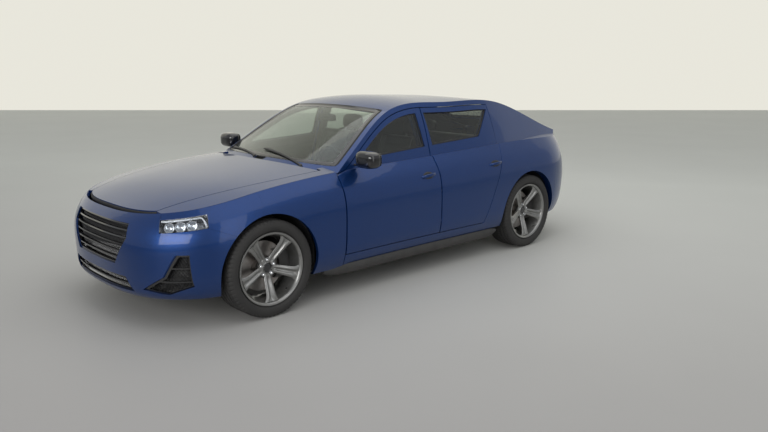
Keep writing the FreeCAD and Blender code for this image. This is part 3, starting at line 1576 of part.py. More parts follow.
def make_rear_seat():
    """Rear bench on the raised floor."""
    x1 = d.rear_seat_half_width
    profile = seat_profile(d.rear_seat_front, d.rear_seat_back_height, d.rear_floor_height)
    seat = from_side(sides_of(profile), 0.0, -x1, x1)
    seat = bevelled(seat, d.seat_wall * 0.16, lambda edge: abs(edge.tangentAt(edge.FirstParameter).x) < 0.5
                   and edge.BoundBox.ZMax > d.seat_height * 0.95)
    head_y = d.rear_seat_front + d.seat_depth + d.seat_back_lean - d.seat_wall * 0.5
    house_cut = across(d.wheelhouse_radius + d.wheelhouse_wall + rest_clear,
                       d.rear_wheelhouse_inner - d.wheelhouse_wall - rest_clear, side_reach, rear_axle_y, axle_height)
    for place in (-1, 1):
        x = place * d.seat_place
        head = block(x - d.headrest_half_width, x + d.headrest_half_width, head_y - d.seat_wall * 0.35,
                     head_y + d.seat_wall * 0.35, d.rear_seat_back_height - d.seat_wall * 0.25,
                     d.rear_seat_back_height + d.seat_wall)
        seat = seat.fuse(bevelled(head, d.seat_wall * 0.2, lambda edge: True))
    return seat.cut(on_both_sides(house_cut))


column_axis = Vector(0, math.cos(math.radians(22)), math.sin(math.radians(22)))
steering_hub = Vector(d.seat_place, front_axle_y + d.wheelbase / 2 - d.wheel_place, d.wheel_height)


def make_dashboard():
    """Dashboard with its hood over the dials, the column cover and the console between the seats."""
    y0 = door_front_y - d.firewall_lead + d.firewall_wall
    depth, top, foot = d.dash_depth, d.dash_height, d.dash_foot_height
    profile = [
        (y0, foot), (y0, d.tray_height - d.skin * 3.6), (y0 + depth * 0.27, d.tray_height - d.skin * 3),
        (y0 + depth * 0.42, top - d.skin),
        (y0 + depth * 0.8, top), (y0 + depth, top - d.skin * 2), (y0 + depth * 0.92, top - d.skin * 5),
        (y0 + depth * 0.75, foot),
    ]
    dash = from_side(sides_of(profile), 0.0, -d.dash_half_width, d.dash_half_width)
    column = bar(d.column_radius, steering_hub - column_axis * d.dash_depth, steering_hub - column_axis * d.column_radius)
    bore = bar(d.wheel_ring_wall + rest_clear, steering_hub - column_axis * d.column_radius * 3, steering_hub)
    floor_top = d.floor_height + d.floor_wall
    console_y1 = front_axle_y + d.wheelbase / 2
    console = block(-d.console_half_width, d.console_half_width, y0, console_y1, d.tunnel_height + rest_clear,
                    d.console_height)
    console = rounded(console, d.skin, lambda edge: edge.BoundBox.ZMin > d.console_height - d.skin / 4)
    stack = block(-d.console_half_width, d.console_half_width, y0, y0 + depth * 0.7, d.tunnel_height + rest_clear, foot + d.skin)
    return dash.fuse(column).fuse(console).fuse(stack).cut(bore)


def eight_sided_ring(radius, wall, centre, axis):
    """A ring round an axis whose section is a regular octagon."""
    out = Vector(1, 0, 0)
    spots = []
    for corner in range(8):
        turn = math.radians(45 * corner + 22.5)
        spots.append(centre + out * (radius + wall * math.cos(turn)) + axis * (wall * math.sin(turn)))
    outline = Part.Face(Part.makePolygon(spots + spots[:1]))
    return outline.revolve(centre, axis, 360)


def make_steering_wheel():
    """Ring, three spokes and hub, with a stub that turns in the column."""
    ring = eight_sided_ring(d.wheel_ring_radius, d.wheel_ring_wall, steering_hub, column_axis)
    hub = bar(d.wheel_hub_radius, steering_hub - column_axis * d.wheel_ring_wall,
              steering_hub + column_axis * d.wheel_ring_wall)
    stub = bar(d.wheel_ring_wall, steering_hub - column_axis * d.column_radius * 2.5, steering_hub)
    up = Vector(0, -column_axis.z, column_axis.y)
    spokes = []
    for angle in (0, 180, 270):
        turn = math.radians(angle)
        out = Vector(1, 0, 0) * math.cos(turn) + up * math.sin(turn)
        spokes.append(bar(d.wheel_ring_wall * 0.8, steering_hub, steering_hub + out * d.wheel_ring_radius))
    return ring.fuse([hub, stub] + spokes)


def make_exhaust():
    """Pipe from the engine through the tunnel, the silencer and two tailpipes."""
    silencer_y = rear_axle_y + d.wheelhouse_radius + d.skin
    top = d.rear_floor_height - d.floor_wall - rest_clear
    box = block(-d.silencer_half_width, d.silencer_half_width, silencer_y, silencer_y + d.silencer_length,
                top - d.silencer_height, top)
    box = rounded(box, d.silencer_height * 0.35, lambda edge: abs(edge.tangentAt(edge.FirstParameter).x) > 0.5)
    pipe_z = d.tunnel_height - d.floor_wall - rest_clear - d.pipe_radius
    start_y = front_axle_y + d.engine_length / 2 + rest_clear
    pieces = [bar(d.pipe_radius, Vector(0, start_y, pipe_z), Vector(0, silencer_y + d.skin, pipe_z))]
    tailpipe = bar(d.tailpipe_radius, *tailpipe_ends())
    return box.fuse(pieces + [tailpipe, mirrored(tailpipe)])


def make_wipers():
    """Two blades parked along the windscreen's foot, on spindles that rise from the cowl."""
    rise = d.wiper_rise
    spindle_layer = top_slab(cabin_height, cowl_y - d.cowl_sweep, peak_y, rise - rest_clear, -rise)
    blade_layer = top_slab(cabin_height, cowl_y - d.cowl_sweep, peak_y, rise * 0.6, -rise)
    pieces = []
    for x in (d.wiper_left_place, -d.wiper_right_place):
        y = cowl_y + d.cowl_sweep * (x / side_reach) ** 2
        tip_x = x - d.wiper_length
        tip_y = cowl_y + d.cowl_sweep * (tip_x / side_reach) ** 2 + d.wiper_length * 0.16
        wide = d.wiper_radius
        strip = from_above(sides_of([(x, y - wide), (x, y + wide), (tip_x, tip_y + wide), (tip_x, tip_y - wide)]))
        spindle = spindle_layer.common(upright(d.wiper_pivot, 0, d.roof_height, x, y))
        pieces.append(spindle.fuse(blade_layer.common(strip)))
    return Part.makeCompound(pieces)


def make_mirror(door):
    """Left mirror: a rounded housing with a flat side to the rear, on a foot at the door."""
    foot_x = surface_x(sail_y + d.mirror_depth, d.belt_front_height)
    x0 = foot_x + d.mirror_reach
    y0 = sail_y + d.skin
    z0 = d.belt_front_height - d.skin
    housing = block(x0, x0 + d.mirror_width, y0, y0 + d.mirror_depth, z0, z0 + d.mirror_height)
    housing = rounded(housing, d.mirror_depth * 0.3, lambda edge: edge.BoundBox.YLength > d.mirror_depth * 0.9)
    housing = bevelled(housing, d.mirror_depth * 0.2, lambda edge: edge.BoundBox.YMax < y0 + d.mirror_depth * 0.1)
    foot = block(foot_x - d.skin, x0 + d.skin * 2, y0 + d.mirror_depth * 0.4, y0 + d.mirror_depth * 0.8,
                 z0 + d.skin * 0.3, z0 + d.skin)
    grown_door = door.copy()
    grown_door.translate(Vector(rest_clear, 0, 0))
    pieces = housing.fuse(foot).cut(grown_door).cut(door)
    return max(pieces.Solids, key=lambda solid: solid.Volume)


def hinge_axis(foot_y):
    """Where a left door's hinge line crosses the ground plane: behind the door's front edge, under its skin."""
    y = foot_y + d.hinge_reach
    z = (d.hinge_low_height + d.hinge_high_height) / 2
    return Vector(surface_x(y, z) - d.hinge_depth, y, 0)


def hinge_pocket(axis, z, foot_y):
    """Room in the door's front edge for one hinge."""
    half = d.hinge_tall / 2 + d.hinge_room
    return block(axis.x - d.door_wall * 2, axis.x + d.hinge_sleeve + d.hinge_play * 4, foot_y - d.door_wall,
                 axis.y + d.hinge_sleeve * 2, z - half, z + half)


def hinge_pin(axis, z):
    half = d.hinge_tall / 2 + d.hinge_room + d.hinge_room
    return upright(d.hinge_pin, z - half, z + half, axis.x, axis.y)


def hinge_bracket(axis, z, foot_y, post_depth):
    """Body side of one door hinge: a sleeve on the pin, an arm inwards, and forwards to the post."""
    half = d.hinge_tall / 2
    sleeve = upright(d.hinge_sleeve, z - half, z + half, axis.x, axis.y)
    inner_x = axis.x - post_depth
    leg_x = axis.x - d.door_wall + d.hinge_sleeve
    inward = block(inner_x, axis.x, axis.y - d.hinge_arm / 2, axis.y + d.hinge_arm / 2, z - half, z + half)
    forward = block(inner_x, leg_x, foot_y - gap - d.hinge_arm, axis.y + d.hinge_arm / 2, z - half, z + half)
    hole = upright(d.hinge_pin + d.hinge_play, z - half * 2, z + half * 2, axis.x, axis.y)
    return sleeve.fuse(inward).fuse(forward).cut(hole)


hinge_heights = (d.hinge_low_height, d.hinge_high_height)
front_door_axis = hinge_axis(door_front_y)
rear_door_axis = hinge_axis(split_y)
front_span = (door_front_y - gap * 8, split_y + d.door_wall * 2)
rear_span = (split_y - d.door_wall * 2, rear_axle_y)


def hang_door(door, axis, foot_y):
    """The door with its hinge pockets cut and its two pins standing in them."""
    for z in hinge_heights:
        door = door.cut(hinge_pocket(axis, z, foot_y)).fuse(hinge_pin(axis, z))
    return max(door.Solids, key=lambda solid: solid.Volume)


# The lids' hinges lie across the car
lid_axis = Vector(0, lid_top_y - d.lid_hinge_lead, cabin_height(d.lid_hinge_reach, lid_top_y) - d.hinge_pin)
hood_edge_y = cowl_y - d.hood_rear_lead + d.hood_sweep * (d.hood_hinge_place / d.hood_rear_half_width) ** 2
hood_under = hood_height(d.hood_hinge_place, hood_edge_y) - d.skin * 0.8
hood_axis = Vector(0, hood_edge_y + d.hinge_sleeve * 1.5, hood_under - d.hinge_pin)


def lid_hinges_on_body():
    """Barrels on the roof's rear edge, one each side of the tailgate's own."""
    pieces = []
    for place in (-1, 1):
        x = place * d.lid_hinge_reach
        for end in (-1, 1):
            near = x + end * (d.lid_hinge_long / 4 + rest_clear)
            far = x + end * d.lid_hinge_long * 0.6
            x0, x1 = min(near, far), max(near, far)
            barrel = across(d.lid_hinge_radius, x0, x1, lid_axis.y, lid_axis.z)
            leaf = block(x0, x1, lid_axis.y - d.lid_head_gap - gap - d.skin, lid_axis.y,
                         lid_axis.z - d.skin * 1.1, lid_axis.z)
            bore = across(d.hinge_pin + d.hinge_play, x0 - gap, x1 + gap, lid_axis.y, lid_axis.z)
            pieces.append(barrel.fuse(leaf).cut(bore))
    return pieces


def lid_hinges_on_tailgate():
    """A barrel with its pin on each leaf of the tailgate's head."""
    pieces = []
    for place in (-1, 1):
        x = place * d.lid_hinge_reach
        half = d.lid_hinge_long / 4
        barrel = across(d.lid_hinge_radius, x - half, x + half, lid_axis.y, lid_axis.z)
        leaf = block(x - half, x + half, lid_axis.y, lid_axis.y + d.lid_hinge_lead + d.skin,
                     lid_axis.z - d.skin * 1.1, lid_axis.z)
        pin = across(d.hinge_pin, x - d.lid_hinge_long * 0.6, x + d.lid_hinge_long * 0.6, lid_axis.y, lid_axis.z)
        pieces.append(barrel.fuse(leaf).fuse(pin))
    return pieces


def hood_hinges_on_body():
    """A bored sleeve on a stand on the cowl for each hood hinge."""
    half = d.hood_hinge_long / 2
    x0, x1 = d.hood_hinge_place - half, d.hood_hinge_place + half
    stand = block(x0, x1, hood_axis.y - d.hinge_sleeve, hood_axis.y + d.hinge_sleeve,
                  d.tray_height - d.skin / 2, hood_axis.z)
    lug = stand.fuse(across(d.hinge_sleeve, x0, x1, hood_axis.y, hood_axis.z))
    lug = lug.cut(across(d.hinge_pin + d.hinge_play, 0, side_reach, hood_axis.y, hood_axis.z))
    return [lug, mirrored(lug)]


def hood_hinges_on_hood():
    """Two lugs under the hood's rear edge with the pin between them."""
    half = d.hood_hinge_long / 2
    y, z = hood_axis.y, hood_axis.z
    r = d.hinge_sleeve
    top = hood_under + d.skin * 0.3
    x0 = d.hood_hinge_place - half * 2
    x1 = d.hood_hinge_place + half * 2
    outline = sides_of([(y + r, z - r), (y + r, z + r / 2), (y - r * 1.6, top), (y - r * 6, top), (y - r * 2, z - r)])
    lugs = from_side(outline, 0.0, x0, x1)
    clear = half + rest_clear
    lugs = lugs.cut(block(d.hood_hinge_place - clear, d.hood_hinge_place + clear, y - r * 8, y + r * 2,
                          z - r * 2, z + r * 4))
    strap = lugs.fuse(across(d.hinge_pin, x0, x1, y, z))
    return [strap, mirrored(strap)]


def add_pair(name, shape):
    """A left sub-part and its mirror image on the right."""
    add_part(name + "_left", shape)
    add_part(name + "_right", mirrored(shape))


def add_engine():
    """The engine and gearbox as one block on the crossmember, sized by the sheet."""
    engine = doc.addObject("Part::Box", "engine")
    engine.Label = "engine"
    engine.setExpression("Length", "dims.engine_width")
    engine.setExpression("Width", "dims.engine_length")
    engine.setExpression("Height", "dims.engine_height")
    low = axle_height - d.upright_half_height
    engine.Placement = Placement(Vector(-d.engine_width / 2, front_axle_y - d.engine_length / 2, low), Rotation())
    parts.append(engine)


def add_wheels():
    for place, hub in (("front", front_hub), ("rear", rear_hub)):
        for side_name, side in (("left", 1), ("right", -1)):
            add_tyre(f"tyre_{place}_{side_name}", hub, side)
            add_rim(f"rim_{place}_{side_name}", hub, side)
            add_disc(f"brake_disc_{place}_{side_name}", hub, side)


def build_all():
    body = make_body_shell()
    front_door = make_door(front_door_runs(), front_window_runs(), *front_span)
    front_door = hang_door(front_door, front_door_axis, door_front_y)
    rear_door = make_door(rear_door_runs(), rear_window_runs(), *rear_span)
    rear_door = hang_door(rear_door, rear_door_axis, split_y)
    brackets = []
    for z in hinge_heights:
        brackets.append(hinge_bracket(front_door_axis, z, door_front_y, d.door_wall + d.hinge_arm))
        brackets.append(hinge_bracket(rear_door_axis, z, split_y, d.post_skin - d.hinge_depth + d.hinge_sleeve))
    body = body.fuse(brackets + [mirrored(bracket) for bracket in brackets])
    body = body.fuse(lid_hinges_on_body()).fuse(hood_hinges_on_body())
    add_part("body_shell", body)
    add_part("floor_pan", make_floor_pan())
    add_part("front_frame", make_front_frame())
    fender = make_fender()
    fender = max(fender.Solids, key=lambda solid: solid.Volume)
    add_part("front_fenders", Part.makeCompound([fender, mirrored(fender)]))
    add_part("front_bumper", make_front_bumper())
    add_part("grille", make_grille())
    add_part("headlamps", make_headlamps())
    add_part("tail_lamps", make_tail_lamps())
    add_part("rear_bumper", make_rear_bumper())
    add_part("hood", make_hood().fuse(hood_hinges_on_hood()))
    add_part("windshield", make_windshield())
    add_part("tailgate", make_tailgate().fuse(lid_hinges_on_tailgate()))
    add_part("tailgate_glass", make_tailgate_glass())
    add_pair("door_front", front_door)
    add_pair("door_rear", rear_door)
    add_pair("glass_front", make_side_glass(front_window_runs(), *front_span))
    add_pair("glass_rear", make_side_glass(rear_window_runs(), *rear_span))
    add_pair("mirror", make_mirror(front_door))
    add_part("wipers", make_wipers())
    add_part("dashboard", make_dashboard())
    add_part("steering_wheel", make_steering_wheel())
    add_part("front_seats", make_front_seats())
    add_part("rear_seat", make_rear_seat())
    add_part("exhaust", make_exhaust())
    add_part("front_suspension", make_front_suspension())
    add_part("rear_suspension", make_rear_suspension())
    add_pair("knuckle_front", upright_shape(front_hub, True))
    add_engine()
    add_wheels()


def write_parts():
    """Checks the whole document, then writes each sub-part."""
    doc.recompute()
    for feature in doc.Objects:
        if "Invalid" in feature.State or "Error" in feature.State:
            raise RuntimeError(f"{feature.Name} is in state {feature.State}")
    for feature in parts:
        shape = feature.Shape
        if shape.isNull() or not shape.isValid():
            raise RuntimeError(f"{feature.Label} has no valid shape")
        print(f"{feature.Label}: {len(shape.Solids)} solids, {shape.Volume / 1e6:.2f} litres")
    os.makedirs("parts", exist_ok=True)
    for feature in parts:
        feature.Shape.exportStep(f"parts/{feature.Label}.step")


build_all()
write_parts()
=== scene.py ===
# %% [markdown]
# A five-door fastback car in metallic blue, dressed over its solid model. The solid model gives every
# panel, joint and size. This script adds what the eye looks for after that: paint that changes with the
# light, glass with its dark border, lamps with something inside, tyres with tread, seats with seams.
# It starts by loading the solid model as a fixed frame, in metres, nose towards -Y and left side at +X.

# %% Load the frame
import math

import bmesh
import bpy
import numpy as np
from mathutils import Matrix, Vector


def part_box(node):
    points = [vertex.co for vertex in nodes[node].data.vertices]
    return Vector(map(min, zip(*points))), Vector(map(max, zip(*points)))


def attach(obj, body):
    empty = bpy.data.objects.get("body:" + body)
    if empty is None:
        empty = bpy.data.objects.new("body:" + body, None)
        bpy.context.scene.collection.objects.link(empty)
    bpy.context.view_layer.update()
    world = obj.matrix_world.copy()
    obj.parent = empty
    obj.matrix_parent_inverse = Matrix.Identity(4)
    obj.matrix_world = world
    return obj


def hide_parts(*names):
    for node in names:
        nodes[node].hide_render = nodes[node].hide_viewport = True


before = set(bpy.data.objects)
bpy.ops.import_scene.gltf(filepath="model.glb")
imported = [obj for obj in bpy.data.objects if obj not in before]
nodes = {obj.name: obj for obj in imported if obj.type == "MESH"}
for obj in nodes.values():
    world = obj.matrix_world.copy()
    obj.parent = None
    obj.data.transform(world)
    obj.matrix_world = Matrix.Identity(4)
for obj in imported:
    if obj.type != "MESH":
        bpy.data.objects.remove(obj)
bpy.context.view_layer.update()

# %% [markdown]
# The photograph was taken at chest height, a little in front of the car's left headlamp. The camera is
# described as a photographer would: where it stands, how far it turns from straight ahead, how far it
# looks down, and its focal length, here in pixels of the 768 pixel wide picture.

# %% The camera
PICTURE_WIDTH = 768
SENSOR_WIDTH = 36.0
focal_pixels = 733.0
camera_place = Vector((4.908, -4.199, 1.725))
camera_yaw = math.radians(47.13)
camera_pitch = math.radians(12.06)

camera_data = bpy.data.cameras.new("camera")
camera_data.sensor_width = SENSOR_WIDTH
camera_data.lens = focal_pixels / PICTURE_WIDTH * SENSOR_WIDTH
camera = bpy.data.objects.new("camera", camera_data)
camera.location = camera_place
camera.rotation_euler = (math.pi / 2 - camera_pitch, 0, camera_yaw)
bpy.context.scene.collection.objects.link(camera)
bpy.context.scene.camera = camera
bpy.context.scene.view_settings.view_transform = "Standard"
print("lens", round(camera_data.lens, 2), "mm")

# %% [markdown]
# Two helpers carry most of the work. A surface is a grid of points, worked out as one array, and its faces
# are index arithmetic. A piece is one or more such surfaces put into a single mesh, given a finish, and
# hung on the body of the car that it moves with.

# %% Grids, and pieces made of them
def grid_faces(rows, columns, wrap_rows=False, wrap_columns=False):
    """Four-sided faces of a rows by columns grid: each joins a point to the next one along and across."""
    i = np.arange(rows if wrap_rows else rows - 1)
    j = np.arange(columns if wrap_columns else columns - 1)
    i, j = np.meshgrid(i, j, indexing="ij")
    next_i, next_j = (i + 1) % rows, (j + 1) % columns
    corners = [i * columns + j, next_i * columns + j, next_i * columns + next_j, i * columns + next_j]
    return np.stack(corners, axis=-1).reshape(-1, 4)


def grid(points, wrap_rows=False, wrap_columns=False, ends=False):
    """A surface through a (rows, columns, 3) array. With ends, caps close its first and last rows."""
    rows, columns = points.shape[:2]
    faces = [list(face) for face in grid_faces(rows, columns, wrap_rows, wrap_columns).tolist()]
    if ends:
        faces.append(list(range(columns)))
        faces.append([(rows - 1) * columns + j for j in reversed(range(columns))])
    return points.reshape(-1, 3), faces


def turned_out(shape):
    """The closed shape with its faces pointing outwards: the signed volume of its fans is positive."""
    points, faces = shape
    volume = 0.0
    for corners in set(len(face) for face in faces):
        index = np.array([face for face in faces if len(face) == corners])
        first = points[index[:, 0]]
        for k in range(1, corners - 1):
            cross = np.cross(points[index[:, k]], points[index[:, k + 1]])
            volume += float(np.sum(first * cross))
    return (points, [face[::-1] for face in faces]) if volume < 0 else shape


def facing(shape, way):
    """The open sheet with its faces turned to look along way."""
    points, faces = shape
    first = np.array([face[:3] for face in faces])
    sides = points[first[:, 1]] - points[first[:, 0]], points[first[:, 2]] - points[first[:, 0]]
    looks = float(np.sum(np.cross(*sides) @ np.asarray(way, float)))
    return (points, [face[::-1] for face in faces]) if looks < 0 else shape


def walled(shape, way, wall=0.0006):
    """The open sheet as a thin closed slab: itself, a copy moved back by wall, and faces round its rim."""
    points, faces = facing(shape, way)
    count = len(points)
    edges = {edge for face in faces for edge in zip(face, face[1:] + face[:1])}
    rim = [(a, b) for a, b in edges if (b, a) not in edges]
    back = [[corner + count for corner in face[::-1]] for face in faces]
    sides = [[b, a, a + count, b + count] for a, b in sorted(rim)]
    return np.concatenate([points, points - unit(np.asarray(way, float)) * wall]), faces + back + sides


def disc(points):
    """A round sheet through a (rows, columns, 3) array, from its middle outwards, with one point as pole."""
    rows, columns = points.shape[:2]
    flat, faces = grid(points, wrap_columns=True)
    fan = [[rows * columns, j, (j + 1) % columns] for j in range(columns)]
    return np.concatenate([flat, points[0].mean(axis=0, keepdims=True)]), faces + fan


def same(shape):
    """The shape as it is, for the left side of the car."""
    return shape


def gathered(shapes):
    """Several shapes as one, with each one's face numbers moved on past the points before it."""
    points, faces, start = [], [], 0
    for shape_points, shape_faces in shapes:
        points.append(shape_points)
        faces.extend([[corner + start for corner in face] for face in shape_faces])
        start += len(shape_points)
    return np.concatenate(points), faces


def moved(shape, offset):
    return shape[0] + np.asarray(offset, float), shape[1]


def mirrored(shape):
    """The shape on the other side of the car. Its faces are reversed, so they still point outwards."""
    return shape[0] * np.array([-1.0, 1.0, 1.0]), [face[::-1] for face in shape[1]]


SAME_PLACE = 1e-6


def make_piece(name, shape, finish, body, smooth_angle=40.0):
    """One named mesh of the car, with its material, on the body that carries it.

    Points at the same place become one, which closes the seams and the poles of the surfaces."""
    mesh = bpy.data.meshes.new(name)
    mesh.from_pydata(shape[0].tolist(), [], shape[1])
    mesh.validate()
    work = bmesh.new()
    work.from_mesh(mesh)
    bmesh.ops.remove_doubles(work, verts=work.verts, dist=SAME_PLACE)
    work.to_mesh(mesh)
    work.free()
    mesh.update()
    piece = bpy.data.objects.new(name, mesh)
    bpy.context.scene.collection.objects.link(piece)
    mesh.materials.append(finish)
    mesh.polygons.foreach_set("use_smooth", np.ones(len(mesh.polygons), bool))
    mesh.set_sharp_from_angle(angle=math.radians(smooth_angle))
    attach(piece, body)
    return piece


def on_both_doors(name, place, shape, finish, smooth_angle=40.0):
    """A piece of the left front or rear door, and its mirror image on the right door."""
    for side, form in (("left", shape), ("right", mirrored(shape))):
        make_piece(f"{name}_{place}_{side}", form, finish, f"door_{place}_{side}", smooth_angle)


# %% [markdown]
# Forms that come back all over a car: a profile turned round an axle, a section carried along a line, and a
# soft-edged block, whose corners follow a superellipse as those of moulded plastic do.

# %% Turned, swept and soft-edged forms
def ring_of(count, start=0.0):
    return start + np.arange(count) * 2 * math.pi / count


def turned(profile, count, centre, closed=True):
    """A profile of (along the axle, out from it) turned round an axle along X through centre.

    A point at (a, r) turned by w lies at centre + (a, r cos w, r sin w)."""
    profile = np.asarray(profile, float)
    angle = ring_of(count)[:, None]
    x = np.broadcast_to(profile[None, :, 0], (count, len(profile)))
    y = profile[None, :, 1] * np.cos(angle)
    z = profile[None, :, 1] * np.sin(angle)
    points = np.stack([x, y, z], axis=-1) + np.asarray(centre, float)
    return grid(points, wrap_rows=True, wrap_columns=closed)


def unit(vectors):
    return vectors / np.maximum(np.linalg.norm(vectors, axis=-1, keepdims=True), 1e-12)


def carried(path, section, up=(0, 0, 1), closed=False, scale=None):
    """A section of (across, up) points carried along a path.

    At each point of the path the section stands across the direction of travel, and its second axis leans
    as near to up as it can: side = up x travel, and top = travel x side."""
    path = np.asarray(path, float)
    section = np.asarray(section, float)
    if closed:
        travel = np.roll(path, -1, axis=0) - np.roll(path, 1, axis=0)
    else:
        travel = np.gradient(path, axis=0)
    travel = unit(travel)
    ups = np.broadcast_to(np.asarray(up, float), path.shape)
    side = unit(np.cross(ups, travel))
    top = np.cross(travel, side)
    size = np.ones(len(path)) if scale is None else np.asarray(scale, float)
    across = section[None, :, 0, None] * side[:, None, :] + section[None, :, 1, None] * top[:, None, :]
    points = path[:, None, :] + across * size[:, None, None]
    return grid(points, wrap_rows=closed, wrap_columns=True, ends=not closed)


def swept(path, section, **how):
    """The carried section as a closed form that faces outwards."""
    return turned_out(carried(path, section, **how))


def circle(radius, count=12):
    angle = ring_of(count)
    return np.stack([radius * np.cos(angle), radius * np.sin(angle)], axis=-1)


def rounded(share, power):
    """A sine or cosine bent by the superellipse's law: sign(s) |s|^power."""
    return np.sign(share) * np.abs(share) ** power


def soft_block(centre, half, power=5.0, count=24, rows=13):
    """A closed block with rounded sides.

    In each level the outline is the superellipse |x|^p + |y|^p = 1, and the levels shrink towards both ends
    by the same law, so that no edge is sharp."""
    turn = ring_of(count)[None, :]
    level = np.linspace(-1, 1, rows)[:, None] * 0.5 * math.pi
    height = rounded(np.sin(level), 2 / power)
    shrink = np.maximum(np.abs(np.cos(level)) ** (2 / power), 1e-3)
    x = rounded(np.cos(turn), 2 / power) * shrink
    y = rounded(np.sin(turn), 2 / power) * shrink
    points = np.stack([x, y, np.broadcast_to(height, x.shape)], axis=-1) * np.asarray(half, float)
    return turned_out(grid(points + np.asarray(centre, float), wrap_columns=True, ends=True))


# %% [markdown]
# The new pieces have to lie on the solid model's panels. So the next helpers ask the frame. One follows the
# outline of the faces that look a given way, and gives it back as a closed line of evenly spaced points.
# The other looks along a direction at a set of spots and tells how far out the panels are there.

# %% Reading the panels of the solid model
def node_triangles(*names):
    """All triangles of some nodes, as a (count, 3, 3) array of corner points."""
    found = []
    for name in names:
        mesh = nodes[name].data
        mesh.calc_loop_triangles()
        corners = np.zeros(len(mesh.loop_triangles) * 3, np.int32)
        mesh.loop_triangles.foreach_get("vertices", corners)
        places = np.zeros(len(mesh.vertices) * 3, np.float32)
        mesh.vertices.foreach_get("co", places)
        found.append(places.reshape(-1, 3)[corners].reshape(-1, 3, 3).astype(float))
    return np.concatenate(found)


def triangle_normals(triangles):
    return unit(np.cross(triangles[:, 1] - triangles[:, 0], triangles[:, 2] - triangles[:, 0]))


def outlines(triangles, direction, least=0.35, weld=2e-4):
    """Closed outlines of the faces that look along direction, longest first.

    Corners nearer than weld count as one. An edge that only one of the chosen faces has is on the outline."""
    facing = triangles[triangle_normals(triangles) @ unit(np.asarray(direction, float)) > least]
    keys = np.round(facing.reshape(-1, 3) / weld).astype(np.int64)
    _, first, number = np.unique(keys, axis=0, return_index=True, return_inverse=True)
    places = facing.reshape(-1, 3)[first]
    corners = number.reshape(-1, 3)
    corners = corners[(corners[:, 0] != corners[:, 1]) & (corners[:, 1] != corners[:, 2])
                      & (corners[:, 0] != corners[:, 2])]
    edges = np.concatenate([corners[:, [0, 1]], corners[:, [1, 2]], corners[:, [2, 0]]])
    both = np.sort(edges, axis=1)
    _, where, count = np.unique(both, axis=0, return_inverse=True, return_counts=True)
    rim = edges[count[where.ravel()] == 1]
    after = {}
    for a, b in rim.tolist():
        after.setdefault(a, []).append(b)
    loops = []
    while after:
        start = next(iter(after))
        loop, spot = [start], start
        while spot in after:
            ways = after[spot]
            step = ways.pop()
            if not ways:
                del after[spot]
            spot = step
            if spot == start:
                break
            loop.append(spot)
        if len(loop) > 3:
            loops.append(places[loop])
    return sorted(loops, key=lambda loop: -loop_length(loop))


def loop_length(loop):
    return float(np.linalg.norm(loop - np.roll(loop, 1, axis=0), axis=1).sum())


def evenly_spaced(line, spacing, closed=True):
    """The line with its points moved to equal steps, each about spacing long."""
    whole = np.concatenate([line, line[:1]]) if closed else np.asarray(line, float)
    steps = np.linalg.norm(np.diff(whole, axis=0), axis=1)
    along = np.concatenate([[0.0], np.cumsum(steps)])
    count = max(8, int(round(along[-1] / spacing)))
    wanted = np.linspace(0, along[-1], count, endpoint=not closed)
    return np.stack([np.interp(wanted, along, whole[:, axis]) for axis in range(3)], axis=1)


def softened(line, rounds=3, closed=True):
    """The line with its small jumps evened out: each point moves half way to the middle of its neighbours."""
    line = np.array(line, float)
    for _ in range(rounds):
        middle = (np.roll(line, 1, axis=0) + np.roll(line, -1, axis=0)) / 2
        if not closed:
            middle[0], middle[-1] = line[0], line[-1]
        line = (line + middle) / 2
    return line


def basis(direction):
    """Right and up, as seen by someone who looks against direction."""
    out = unit(np.asarray(direction, float))
    right = unit(np.cross([0.0, 0.0, 1.0], out)) if abs(out[2]) < 0.9 else np.array([1.0, 0.0, 0.0])
    return right, np.cross(out, right), out


def laid_on(triangles, spots, direction, reach=None):
    """Points of the panels nearest to the viewer at spots of (right, up), looking against direction.

    Each triangle over a spot gives one depth, by its corners' weights at the spot, and the outermost counts.
    A spot with no triangle over it takes the depth of the nearest spot that has one."""
    right, up, out = basis(direction)
    spots = np.asarray(spots, float)
    flat = spots.reshape(-1, 2)
    a, b = triangles @ right, triangles @ up
    depth = triangles @ out
    area = (a[:, 1] - a[:, 0]) * (b[:, 2] - b[:, 0]) - (a[:, 2] - a[:, 0]) * (b[:, 1] - b[:, 0])
    seen = area > 1e-10
    a, b, depth, area = a[seen], b[seen], depth[seen], area[seen]
    best = np.full(len(flat), -np.inf)
    for start in range(0, len(flat), 512):
        s = flat[start:start + 512]
        p, q = s[:, 0, None], s[:, 1, None]
        w1 = ((p - a[:, 0]) * (b[:, 2] - b[:, 0]) - (a[:, 2] - a[:, 0]) * (q - b[:, 0])) / area
        w2 = ((a[:, 1] - a[:, 0]) * (q - b[:, 0]) - (p - a[:, 0]) * (b[:, 1] - b[:, 0])) / area
        inside = (w1 >= -1e-6) & (w2 >= -1e-6) & (w1 + w2 <= 1 + 1e-6)
        value = depth[:, 0] + w1 * (depth[:, 1] - depth[:, 0]) + w2 * (depth[:, 2] - depth[:, 0])
        value = np.where(inside, value, -np.inf)
        if reach is not None:
            value = np.where(value < reach, value, -np.inf)
        best[start:start + 512] = value.max(axis=1)
    missing = ~np.isfinite(best)
    if missing.any() and not missing.all():
        known = flat[~missing]
        apart = np.linalg.norm(flat[missing][:, None, :] - known[None, :, :], axis=-1)
        best[missing] = best[~missing][apart.argmin(axis=1)]
    points = flat[:, :1] * right + flat[:, 1:] * up + best[:, None] * out
    return points.reshape(spots.shape[:-1] + (3,))


LEFT = (1.0, 0.0, 0.0)
RIGHT = (-1.0, 0.0, 0.0)
BACKWARDS = (0.0, 1.0, 0.0)


